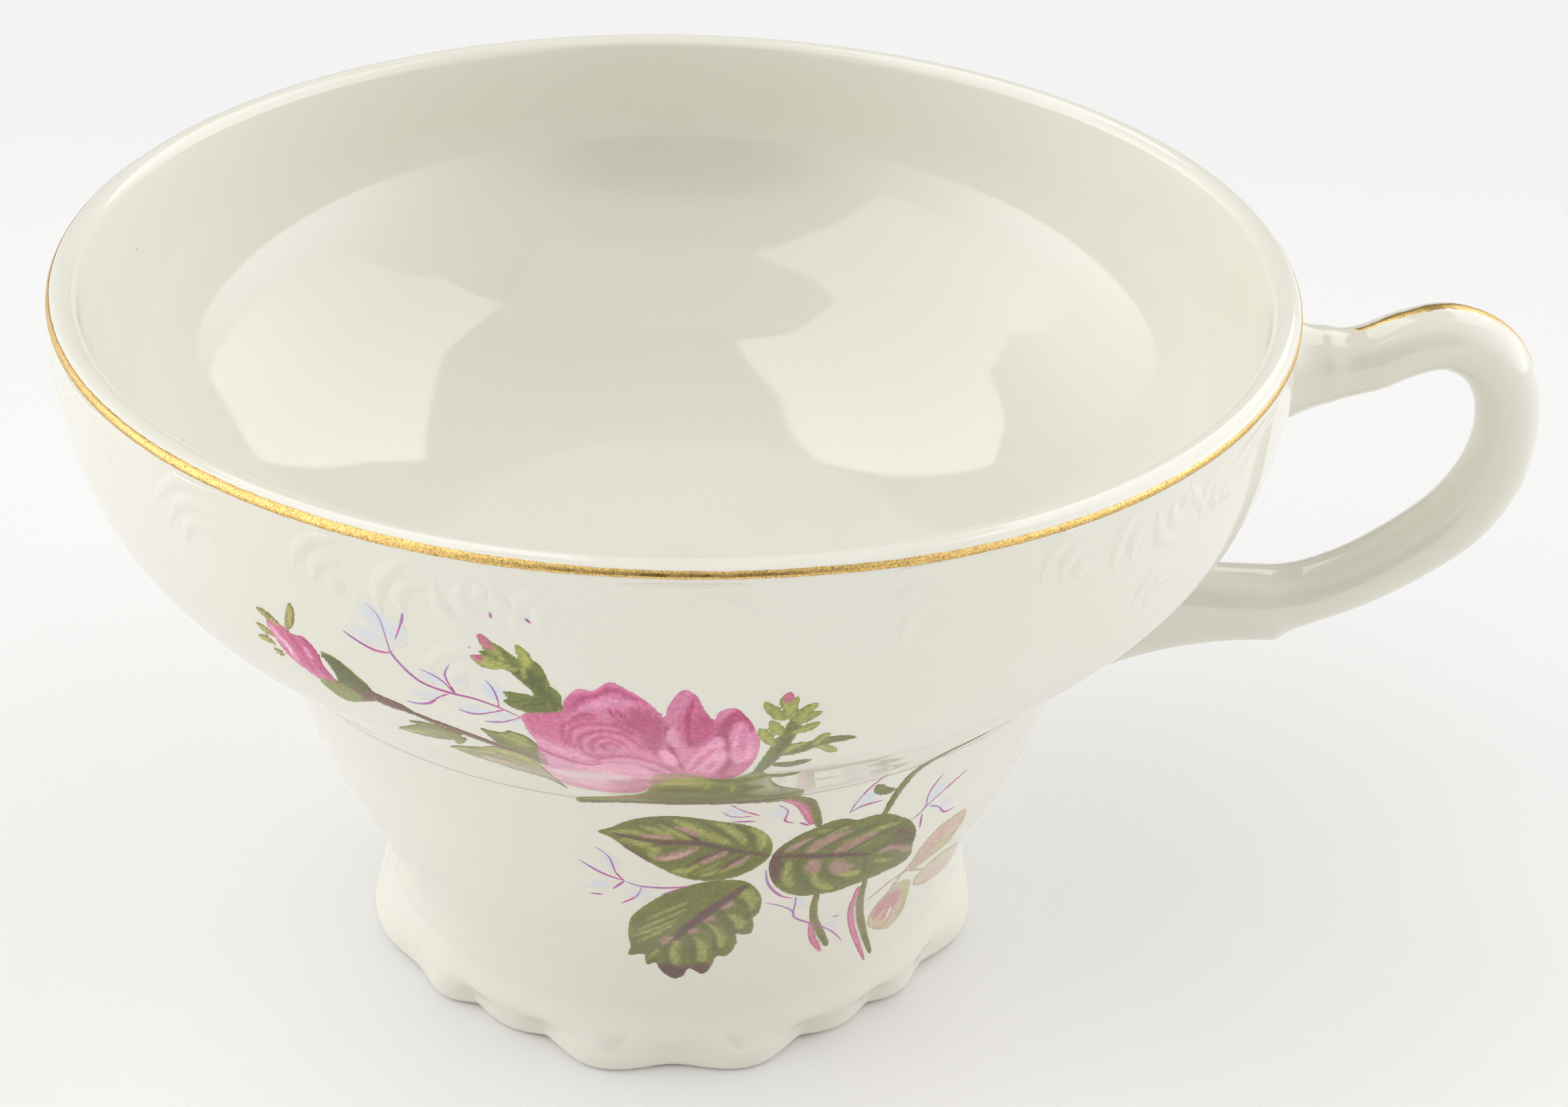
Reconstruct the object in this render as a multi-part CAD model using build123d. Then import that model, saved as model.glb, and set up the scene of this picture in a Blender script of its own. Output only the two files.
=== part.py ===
"""Footed porcelain teacup: a shallow flared bowl luted onto a hollow scalloped pedestal, with a loop
handle, two gilt lines and a printed rose transfer.

Millimetres, +Z up. The origin is on the cup's axis at the height of the surface it stands on, the
handle points along +X, and the printed face looks along -Y.
"""
from build123d import *
import os
from math import cos, radians, sin

# ---- driving dimensions ----
RIM_RADIUS = 48.1
CUP_HEIGHT = 63.0
LIP_THICKNESS = 2.2
SEAM_RADIUS = 35.9       # where the bowl is luted onto the pedestal
SEAM_HEIGHT = 35.5
FLOOR_HEIGHT = 33.6      # inside of the bowl, at the axis
FLOOR_THICKNESS = 3.4
SEAM_INNER_RADIUS = 30.6
SEAM_INNER_HEIGHT = 32.6
UNDERSIDE_RADIUS = 22.0  # a ring on the bowl's underside, between the axis and the seam
UNDERSIDE_HEIGHT = 30.6

FOOT_RING_INNER_RADIUS = 21.5
FOOT_PETAL_RADIUS = 27.4
FOOT_PETAL_HEIGHT = 6.2
FOOT_EDGE_RADIUS = 0.8

GILT_THICKNESS = 0.1
PRINT_THICKNESS = 0.12
RIM_GILT_START = 10.0    # degrees above the horizontal, round the lip's section
RIM_GILT_END = 45.0
RIM_GILT_STEPS = 2
HANDLE_GILT_WIDTH = 1.2

LIP_RADIUS = LIP_THICKNESS / 2
LIP_HEIGHT = CUP_HEIGHT - LIP_RADIUS
MOUTH_RADIUS = RIM_RADIUS - LIP_THICKNESS

# Outside of the bowl from the seam up to the lip, as (radius, height).
BOWL_OUTSIDE = [
    (SEAM_RADIUS, SEAM_HEIGHT),
    (38.8, 38.95),
    (43.4, 44.0),
    (46.4, 48.9),
    (47.8, 53.8),
    (48.2, 58.4),
    (RIM_RADIUS, LIP_HEIGHT),
]
# Inside of the bowl from the lip down to the axis.
BOWL_INSIDE = [
    (MOUTH_RADIUS, LIP_HEIGHT),
    (45.8, 58.4),
    (45.4, 54.2),
    (43.9, 49.9),
    (41.0, 45.8),
    (36.4, 41.3),
    (30.0, 37.6),
    (22.0, 35.1),
    (12.0, 33.9),
    (0, FLOOR_HEIGHT),
]
# Outside of the pedestal from the foot up to the seam, and its inside from the seam down.
PEDESTAL_OUTSIDE = [
    (25.2, 0),
    (25.4, 5.0),
    (26.1, 9.6),
    (27.7, 14.4),
    (29.9, 19.2),
    (31.7, 24.0),
    (33.1, 28.8),
    (34.25, 32.3),
    (SEAM_RADIUS, SEAM_HEIGHT),
]
PEDESTAL_INSIDE = [
    (SEAM_INNER_RADIUS, SEAM_INNER_HEIGHT),
    (29.4, 28.8),
    (28.0, 24.0),
    (26.1, 19.2),
    (23.9, 14.4),
    (22.3, 9.6),
    (FOOT_RING_INNER_RADIUS, 0),
]

# The scallops round half of the foot, from the -X side by way of the front to the handle's side. The
# back repeats them. Each is (degrees it covers, radius at its crown, radius of the notch before it).
HALF_FOOT_PETALS = [
    (31.5, 27.4, 26.6),
    (16.5, 26.4, 26.2),
    (16.5, 25.45, 25.05),
    (25.5, 26.95, 24.95),
    (25.5, 26.85, 25.9),
    (16.5, 25.4, 24.9),
    (16.5, 25.8, 24.8),
    (31.5, 27.2, 25.4),
]
# The flare of the foot above the floor, from its widest place up to where it runs out in the wall.
FOOT_FLARE = [(FOOT_PETAL_RADIUS, 1.8), (26.2, 3.8), (25.4, FOOT_PETAL_HEIGHT)]

# Handle sections down the loop, as (x, z, thickness in the handle's plane, width across it). The
# first and last lie inside the walls, and are cut away there.
HANDLE_SECTIONS = [
    (45.6, 52.3, 11.0, 8.4),
    (49.2, 52.7, 8.6, 7.2),
    (52.2, 53.2, 6.6, 6.4),
    (55.4, 53.6, 5.8, 6.0),
    (58.7, 55.0, 5.4, 5.8),
    (62.0, 55.8, 5.5, 5.8),
    (65.4, 54.4, 5.5, 5.8),
    (67.7, 51.2, 5.2, 5.8),
    (68.4, 47.0, 5.2, 5.8),
    (67.8, 42.8, 5.5, 5.8),
    (65.6, 38.9, 5.7, 5.8),
    (62.2, 35.7, 5.5, 5.8),
    (58.0, 32.9, 5.3, 5.8),
    (53.4, 30.9, 5.5, 6.0),
    (49.0, 30.2, 6.8, 6.2),
    (44.0, 30.8, 8.6, 5.8),
    (38.0, 32.4, 12.0, 5.0),
]
# The web that carries the handle's lower end down the pedestal as a tail.
TAIL_WIDTH = 4.4
TAIL_OUTLINE = [
    (49.0, 27.4),
    (45.1, 26.1),
    (39.3, 24.8),
    (36.4, 22.7),
    (33.8, 19.3),
    (31.4, 16.8),
    (28.6, 14.6),
]
TAIL_TOP = [(28.6, 34.0), (38.0, 38.6), (45.0, 34.2)]

# The side of the loop that carries the gilt line, as an (x, z) outline.
HANDLE_GILT_REGION = [
    (54.6, 61.0), (54.6, 54.5), (62.0, 56.5), (66.4, 54.0), (68.4, 51.0), (73.0, 51.0), (73.0, 61.0),
]

# The printed transfer: the outlines of each motif in a front view, as (x, z).
ROSE = [
    (-10.0, 49.8), (-7.4, 51.6), (-4.6, 53.7), (-1.2, 51.6), (0.6, 53.3), (2.4, 50.4), (4.4, 50.6),
    (5.4, 47.6), (5.0, 44.6), (2.6, 41.4), (-2.6, 40.2), (-7.6, 41.2), (-9.8, 44.6),
]
LEFT_SEPALS = [(-10.4, 50.6), (-11.4, 52.6), (-13.2, 55.6), (-10.4, 55.8), (-8.9, 54.4), (-8.2, 52.4)]
RIGHT_SEPALS = [(6.2, 45.4), (6.2, 50.6), (7.4, 52.4), (9.2, 50.6), (8.6, 48.3), (11.4, 47.0), (8.8, 45.0)]
CALYX = [(-6.0, 39.0), (2.6, 39.6), (6.8, 42.6), (9.4, 38.6), (6.0, 36.8), (-3.0, 36.8)]
BUD = [(-28.2, 52.6), (-25.2, 53.0), (-22.6, 51.2), (-19.9, 48.4), (-22.0, 47.0), (-24.6, 49.4)]
BUD_STEM = [(-19.2, 47.8), (-13.6, 47.2), (-10.8, 46.0), (-11.0, 44.6), (-13.8, 45.8), (-19.0, 46.8)]
LEFT_LEAF = [
    (-5.7, 30.6), (-3.0, 32.4), (0.2, 33.2), (3.4, 32.7), (6.2, 31.0), (6.9, 28.6), (6.2, 25.8),
    (3.6, 24.6), (0.6, 25.6), (-2.6, 27.8),
]
RIGHT_LEAF = [
    (7.5, 25.0), (8.4, 28.6), (11.2, 30.3), (15.4, 29.4), (18.0, 27.2), (18.7, 24.4), (17.8, 22.0),
    (14.4, 20.9), (10.4, 21.4), (8.2, 22.9),
]
LOWER_LEAF = [
    (6.2, 22.4), (4.4, 23.8), (2.0, 23.5), (-1.0, 21.4), (-3.4, 18.2), (-3.6, 14.4), (-1.8, 11.6),
    (0.2, 10.2), (2.4, 10.8), (4.6, 13.6), (6.2, 17.4),
]
LEFT_STALK = [(10.0, 20.6), (11.0, 20.6), (12.6, 12.6), (11.7, 12.4)]
RIGHT_STALK = [(13.7, 20.2), (14.8, 20.3), (15.4, 11.8), (14.4, 11.6)]
UPPER_BUD = [(18.9, 20.4), (22.6, 24.4), (23.2, 23.6), (20.0, 19.2)]
MIDDLE_BUD = [(19.4, 15.0), (22.2, 18.4), (22.2, 17.2), (20.4, 14.4)]
LOWER_BUD = [(15.9, 11.8), (17.6, 15.8), (19.0, 16.4), (18.6, 13.6), (17.0, 11.0)]
PRINTED_MOTIFS = {
    "rose_print": [ROSE],
    "rose_foliage_print": [LEFT_SEPALS, RIGHT_SEPALS, CALYX],
    "rosebud_print": [BUD, BUD_STEM],
    "left_leaf_print": [LEFT_LEAF],
    "right_leaf_print": [RIGHT_LEAF],
    "lower_leaf_print": [LOWER_LEAF],
    "stalks_print": [LEFT_STALK, RIGHT_STALK],
    "small_buds_print": [UPPER_BUD, MIDDLE_BUD, LOWER_BUD],
}


def revolved(outline):
    """The solid of revolution of a closed (radius, height) outline about the cup's axis."""
    return revolve(make_face(Plane.XZ * outline), Axis.Z)


def outer_body(growth=0.0):
    """The cup's outside as a filled solid, without foot petals, grown outward by a skin's thickness."""
    bowl = [(r + growth, z) for r, z in BOWL_OUTSIDE]
    pedestal = [(r + growth, z) for r, z in PEDESTAL_OUTSIDE]
    top, bottom = bowl[-1], pedestal[0]
    return revolved(
        Spline(bowl)
        + Spline(pedestal)
        + Polyline(top, (0, top[1]), (0, bottom[1]), bottom)
    )


def make_bowl():
    lip_top = (RIM_RADIUS - LIP_RADIUS, CUP_HEIGHT)
    seam_inside = (SEAM_INNER_RADIUS, SEAM_INNER_HEIGHT)
    underside = [(0, FLOOR_HEIGHT - FLOOR_THICKNESS), (UNDERSIDE_RADIUS, UNDERSIDE_HEIGHT), seam_inside]
    down, inward, outward, up_the_seam = (0, -1), (-1, 0), (1, 0), (1, 0.8)
    return revolved(
        Spline(BOWL_OUTSIDE)
        + ThreePointArc(BOWL_OUTSIDE[-1], lip_top, BOWL_INSIDE[0])
        + Spline(BOWL_INSIDE, tangents=[down, inward])
        + Line(BOWL_INSIDE[-1], underside[0])
        + Spline(underside, tangents=[outward, up_the_seam])
        + Line(seam_inside, BOWL_OUTSIDE[0])
    )


def on_circle(radius, angle):
    """The point of a circle about the origin, with the angle in degrees."""
    return (radius * cos(radians(angle)), radius * sin(radians(angle)))


def foot_petals():
    """The scalloped flare round the foot, solid through to the axis."""
    edge_start = (FOOT_PETAL_RADIUS - FOOT_EDGE_RADIUS, 0)
    edge_end = (FOOT_PETAL_RADIUS, FOOT_EDGE_RADIUS)
    flare = revolved(
        Line((0, 0), edge_start)
        + RadiusArc(edge_start, edge_end, -FOOT_EDGE_RADIUS)
        + Polyline(edge_end, *FOOT_FLARE, (0, FOOT_PETAL_HEIGHT), (0, 0))
    )
    scallops = []
    angle = 180.0
    petals = HALF_FOOT_PETALS * 2
    for (width, crown, notch), (_, _, next_notch) in zip(petals, petals[1:] + petals[:1]):
        start, end = on_circle(notch, angle), on_circle(next_notch, angle + width)
        scallops.append(ThreePointArc(start, on_circle(crown, angle + width / 2), end))
        angle += width
    return flare & extrude(make_face(scallops), FOOT_PETAL_HEIGHT)


def make_pedestal():
    wall_and_inside = revolved(
        Spline(PEDESTAL_OUTSIDE)
        + Line(PEDESTAL_OUTSIDE[-1], PEDESTAL_INSIDE[0])
        + Polyline(PEDESTAL_INSIDE[0], (0, SEAM_INNER_HEIGHT), (0, 0), PEDESTAL_OUTSIDE[0])
    )
    hollow = revolved(
        Spline(PEDESTAL_INSIDE)
        + Polyline(PEDESTAL_INSIDE[-1], (0, 0), (0, SEAM_INNER_HEIGHT), PEDESTAL_INSIDE[0])
    )
    return wall_and_inside + foot_petals() - hollow


def handle_loop(growth=0.0):
    """The loop, lofted through its sections; growth is a skin's thickness all round."""
    spine = Spline([(x, 0, z) for x, z, _, _ in HANDLE_SECTIONS])
    sections = []
    for x, z, thickness, width in HANDLE_SECTIONS:
        along = spine.tangent_at(spine.param_at_point((x, 0, z)))
        across = Plane(origin=(x, 0, z), x_dir=(0, 1, 0), z_dir=along)
        sections.append(across * Ellipse(width / 2 + growth, thickness / 2 + growth))
    return loft(sections)


def make_handle(body):
    """The loop with its tail, cut off at the cup's outside."""
    tail_face = make_face(
        Plane.XZ * (Spline(TAIL_OUTLINE) + Polyline(TAIL_OUTLINE[-1], *TAIL_TOP, TAIL_OUTLINE[0]))
    )
    tail = extrude(tail_face, TAIL_WIDTH / 2, both=True)
    return handle_loop() + tail - body


def make_rim_gilt():
    """A band painted round the lip, on the outer side of its section, in flat steps that touch it."""
    step = (RIM_GILT_END - RIM_GILT_START) / RIM_GILT_STEPS
    angles = [RIM_GILT_START + step * i for i in range(RIM_GILT_STEPS + 1)]

    def beside_lip(radius):
        across = [on_circle(radius, angle) for angle in angles]
        return [(RIM_RADIUS - LIP_RADIUS + x, LIP_HEIGHT + y) for x, y in across]

    inner_radius = LIP_RADIUS / cos(radians(step / 2))
    inner, outer = beside_lip(inner_radius), beside_lip(inner_radius + GILT_THICKNESS)
    return revolved(Polyline(*inner, *reversed(outer), close=True))


def make_handle_gilt():
    """A line painted along the spine, from the upper root round to the outermost point."""
    spine_side = make_face(Plane.XZ * Polyline(HANDLE_GILT_REGION, close=True))
    strip = extrude(spine_side, HANDLE_GILT_WIDTH / 2, both=True)
    return (handle_loop(GILT_THICKNESS) & strip) - handle_loop()


def make_print(outlines, skin):
    """One printed motif: its front-view outlines carried back onto the skin of the cup."""
    pieces = []
    for outline in outlines:
        front = make_face(Plane.XZ * Polyline(outline, close=True))
        pieces += (extrude(front, RIM_RADIUS + 2) & skin).solids()
    return Compound(pieces)


def main():
    os.makedirs("parts", exist_ok=True)
    body = outer_body()
    print_skin = outer_body(PRINT_THICKNESS) - body
    parts = {
        "cup_bowl": make_bowl(),
        "foot_pedestal": make_pedestal(),
        "handle": make_handle(body),
        "rim_gilt_line": make_rim_gilt(),
        "handle_gilt_line": make_handle_gilt(),
    }
    for name, outlines in PRINTED_MOTIFS.items():
        parts[name] = make_print(outlines, print_skin)
    for name, part in parts.items():
        part.label = name
        export_step(part, f"parts/{name}.step")


main()
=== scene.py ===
"""Footed porcelain teacup: sculpted porcelain, gilt lines and printed rose spray around the CAD frame.

Lengths in this script are millimetres in the row's frame (cup axis = Z, handle = +X, printed face =
-Y) and become metres where a mesh is made. Places on the cup's outside are given as (azimuth, height):
degrees round from the front (-Y) towards the handle (+X), and millimetres along the wall, counted up
the bowl and down the pedestal from the seam between them.
"""
import math
import bpy
import numpy as np
from mathutils import Matrix, Vector


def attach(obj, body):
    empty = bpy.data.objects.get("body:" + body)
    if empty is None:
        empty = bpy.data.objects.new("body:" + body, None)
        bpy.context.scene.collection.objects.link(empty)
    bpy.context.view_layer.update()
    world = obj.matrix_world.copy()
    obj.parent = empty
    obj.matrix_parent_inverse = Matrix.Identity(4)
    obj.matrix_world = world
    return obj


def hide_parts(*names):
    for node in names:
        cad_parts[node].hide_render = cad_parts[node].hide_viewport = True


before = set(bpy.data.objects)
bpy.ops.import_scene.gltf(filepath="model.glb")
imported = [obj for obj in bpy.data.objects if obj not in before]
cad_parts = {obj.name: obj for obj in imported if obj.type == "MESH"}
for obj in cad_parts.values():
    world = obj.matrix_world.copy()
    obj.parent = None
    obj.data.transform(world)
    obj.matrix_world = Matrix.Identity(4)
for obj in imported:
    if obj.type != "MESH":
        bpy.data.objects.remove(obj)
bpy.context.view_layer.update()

MM = 0.001

# ---- shape of the porcelain, as in the CAD model ----
CUP_HEIGHT = 63.0
RIM_RADIUS = 48.1
LIP = 2.2
LIP_HEIGHT = CUP_HEIGHT - LIP / 2
SEAM = (35.9, 35.5)
SEAM_INNER = (30.6, 32.6)
BOWL_OUTSIDE = [
    SEAM, (38.8, 38.95), (43.4, 44.0), (46.4, 48.9), (47.8, 53.8), (48.2, 58.4), (RIM_RADIUS, LIP_HEIGHT),
]
BOWL_INSIDE = [
    (RIM_RADIUS - LIP, LIP_HEIGHT), (45.8, 58.4), (45.4, 54.2), (43.9, 49.9), (41.0, 45.8),
    (36.4, 41.3), (30.0, 37.6), (22.0, 35.1), (12.0, 33.9), (0.0, 33.6),
]
BOWL_UNDER = [(0.0, 30.2), (22.0, 30.6), SEAM_INNER]
PEDESTAL_OUTSIDE = [
    (25.2, 0.0), (25.4, 5.0), (26.1, 9.6), (27.7, 14.4), (29.9, 19.2), (31.7, 24.0), (33.1, 28.8),
    (34.25, 32.3), SEAM,
]
PEDESTAL_INSIDE = [
    SEAM_INNER, (29.4, 28.8), (28.0, 24.0), (26.1, 19.2), (23.9, 14.4), (22.3, 9.6), (21.6, 3.0),
    (21.9, 0.5),
]
# Scalloped foot, left to right round the front half and again round the back: petal widths in degrees,
# radius at each petal's crown, and radius in the notch before each.
PETAL_WIDTHS = [31.5, 16.5, 16.5, 25.5, 25.5, 16.5, 16.5, 31.5]
PETAL_CROWNS = [27.4, 26.4, 25.45, 26.95, 26.85, 25.4, 25.8, 27.2]
PETAL_NOTCHES = [26.6, 26.2, 25.05, 24.95, 25.9, 24.9, 24.8, 25.4]
NOTCH_LIFT = 0.18             # how far the foot clears the floor in a notch
FOOT_RING = (22.9, 23.6)      # radii between which the foot is flat
FOOT_EDGE = 0.8               # radius of the foot's lower edge
FOOT_LEDGE = 0.8              # how far the band above the petals stands out from the wall
PETALS_RUN_OUT = (1.4, 4.0)   # heights over which the petals, and the ledge, give way to the wall
LEDGE_RUNS_OUT = (2.8, 6.2)


# ---- light: outlines of the two window panels 1 m up, in metres from the cup's axis ----
RIGHT_WINDOW = [
    (0.73, -0.15), (0.41, -0.02), (0.44, 0.32), (0.26, 0.98), (0.41, 1.06), (1.74, 2.7), (2.12, 2.86),
    (1.99, 1.56), (1.66, -0.03), (1.0, -0.06),
]
LEFT_WINDOW = [
    (-0.22, -0.44), (-0.57, -0.58), (-1.46, -1.38), (-1.75, -0.69), (-1.73, 0.01), (-1.66, 0.47),
    (-1.23, 0.46), (-1.0, 0.31), (-0.66, 0.48), (-0.58, 0.79), (-0.44, 1.04), (-0.07, 1.04),
    (-0.11, 0.56), (-0.09, 0.19), (-0.19, 0.15), (-0.37, -0.07), (-0.38, -0.25),
]
WINDOW_RADIANCE = 2.05
WORLD_BASE, WORLD_FRONT, WORLD_HIGH, WORLD_SIDE = 0.39, 0.07, 0.65, 2.3
WORLD_BACK_SHADE = 0.4
WARM, COOL = (1, 0.985, 0.945), (0.95, 1.0, 1.08)
# The dark spot in front, where someone would stand: its direction, edge, sharpness and depth.
SPOT_Y, SPOT_Z, SPOT_EDGE, SPOT_SHARPNESS, SPOT_DEPTH = -0.94, 0.34, 0.86, 12.0, 0.95


# ---- fired colours, as 8-bit display values ----
INKS = {
    "glaze": (225, 221, 207), "rose": (204, 100, 142), "pink": (214, 124, 160), "light": (230, 152, 186),
    "pale": (233, 203, 208), "deep": (186, 76, 122), "crimson": (168, 62, 102), "olive": (92, 98, 46),
    "green": (128, 134, 60), "lime": (172, 171, 92), "mauve": (174, 130, 130), "plum": (98, 62, 66),
    "umber": (118, 88, 62), "magenta": (186, 84, 152), "violet": (158, 124, 182), "blue": (206, 211, 228),
    "fawn": (196, 176, 146), "dust": (200, 160, 150), "moss": (108, 110, 50),
}


# ---- curves ----
def smooth_path(points, step):
    """Points about `step` apart along a centripetal Catmull-Rom curve through the given points."""
    p = np.array(points, float)
    p = np.vstack([2 * p[0] - p[1], p, 2 * p[-1] - p[-2]])
    out = []
    for a, b, c, d in zip(p, p[1:], p[2:], p[3:]):
        knots = np.cumsum([0.0] + [np.linalg.norm(v - u) ** 0.5 for u, v in ((a, b), (b, c), (c, d))])
        count = max(1, math.ceil(np.linalg.norm(c - b) / step))
        t = np.linspace(knots[1], knots[2], count, endpoint=False)[:, None]

        def mix(u, v, i, j):
            return (knots[j] - t) / (knots[j] - knots[i]) * u + (t - knots[i]) / (knots[j] - knots[i]) * v

        ab, bc, cd = mix(a, b, 0, 1), mix(b, c, 1, 2), mix(c, d, 2, 3)
        out.append(mix(mix(ab, bc, 0, 2), mix(bc, cd, 1, 3), 1, 2))
    return np.vstack(out + [p[-2:-1]])


def arc(centre, radius, start, end, count):
    """Points on an arc in the (radius, height) half plane, angles in degrees."""
    angle = np.radians(np.linspace(start, end, count))
    return np.stack([centre[0] + radius * np.cos(angle), centre[1] + radius * np.sin(angle)], 1)


def ease(x, low, high):
    """0 below low, 1 above high, smooth in between."""
    t = np.clip((np.asarray(x, float) - low) / (high - low), 0, 1)
    return t * t * (3 - 2 * t)


OUTLINE = smooth_path(PEDESTAL_OUTSIDE + BOWL_OUTSIDE[1:], 0.1)
OUTLINE_RUN = np.concatenate([[0], np.cumsum(np.hypot(*np.diff(OUTLINE, axis=0).T))])
OUTLINE_RUN -= np.interp(SEAM[1], OUTLINE[:, 1], OUTLINE_RUN)


def outside(run):
    """(radius, height) on the cup's outside at a distance along the wall from the seam."""
    return np.interp(run, OUTLINE_RUN, OUTLINE[:, 0]), np.interp(run, OUTLINE_RUN, OUTLINE[:, 1])


def outside_radius(height):
    """The cup's outside radius at a height above the floor."""
    return np.interp(height, OUTLINE[:, 1], OUTLINE[:, 0])


# ---- meshes ----
def new_object(name, verts, faces, material):
    mesh = bpy.data.meshes.new(name)
    mesh.from_pydata((np.asarray(verts) * MM).tolist(), [], faces)
    mesh.validate()
    mesh.update()
    for poly in mesh.polygons:
        poly.use_smooth = True
    obj = bpy.data.objects.new(name, mesh)
    bpy.context.collection.objects.link(obj)
    mesh.materials.append(material)
    return obj


def ring_faces(rings, around, close_rings=False):
    """Quads between successive rings of `around` vertices."""
    faces = []
    for i in range(rings if close_rings else rings - 1):
        a, b = i * around, (i + 1) % rings * around
        for j in range(around):
            k = (j + 1) % around
            faces.append((a + j, b + j, b + k, a + k))
    return faces


def turned(profile, around):
    """Rings of vertices for a (radius, height) profile."""
    azimuth = np.linspace(0, 360, around, endpoint=False)
    r, az = np.meshgrid(profile[:, 0], azimuth, indexing="ij")
    z = np.repeat(profile[:, 1:2], around, axis=1)
    a = np.radians(az)
    return np.stack([r * np.sin(a), -r * np.cos(a), z], -1)


# ---- places on the cup's outside ----
def wall(azimuth, run, proud=0.0):
    """Points `proud` mm off the cup's outside at (azimuth, height along the wall)."""
    azimuth, run = np.broadcast_arrays(np.asarray(azimuth, float), np.asarray(run, float))
    r, z = outside(run)
    within = np.clip(run, OUTLINE_RUN[0] + 0.2, OUTLINE_RUN[-1] - 0.2)
    r_up, z_up = outside(within + 0.2)
    r_down, z_down = outside(within - 0.2)
    tilt = np.hypot(r_up - r_down, z_up - z_down)
    r = r + proud * (z_up - z_down) / tilt
    z = z - proud * (r_up - r_down) / tilt
    a = np.radians(azimuth)
    return np.stack([r * np.sin(a), -r * np.cos(a), z], -1)


def to_segments(points, path):
    """Distance from each point to a polyline, and how far along it (0 to 1) the nearest place is."""
    a, b = path[:-1], path[1:]
    span = b - a
    length = np.maximum((span ** 2).sum(1), 1e-12)
    away = points[:, None] - a
    t = np.clip((away * span).sum(2) / length, 0, 1)
    gap = np.hypot(away[..., 0] - t * span[:, 0], away[..., 1] - t * span[:, 1])
    near = gap.argmin(1)
    rows = np.arange(len(points))
    return gap[rows, near], (near + t[rows, near]) / len(a)


def inside_gap(points, loop):
    """Signed distance to a closed outline, negative inside."""
    gap, _ = to_segments(points, np.vstack([loop, loop[:1]]))
    x, y = points[:, 0, None], points[:, 1, None]
    a, b = loop, np.roll(loop, -1, 0)
    spans = (a[:, 1] > y) != (b[:, 1] > y)
    rise = np.where(b[:, 1] == a[:, 1], 1e-9, b[:, 1] - a[:, 1])
    crossings = (spans & (x < a[:, 0] + (y - a[:, 1]) / rise * (b[:, 0] - a[:, 0]))).sum(1)
    return np.where(crossings % 2 == 1, -gap, gap)


def closed_path(points, step):
    """Points about `step` apart on a closed smooth curve through the given points."""
    ends = [points[-1]] + list(points) + [points[0], points[1]]
    path = smooth_path(ends, step)
    first = np.hypot(*(path - np.array(points[0])).T).argmin()
    last = np.hypot(*(path[first + 2:] - np.array(points[0])).T).argmin() + first + 2
    return path[first:last]


def taper(t, ends):
    """Width of a brush stroke along its length, with `ends` of the full width left at both ends."""
    return ends + (1 - ends) * np.sqrt(np.clip(np.sin(np.pi * t), 0, 1))


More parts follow.
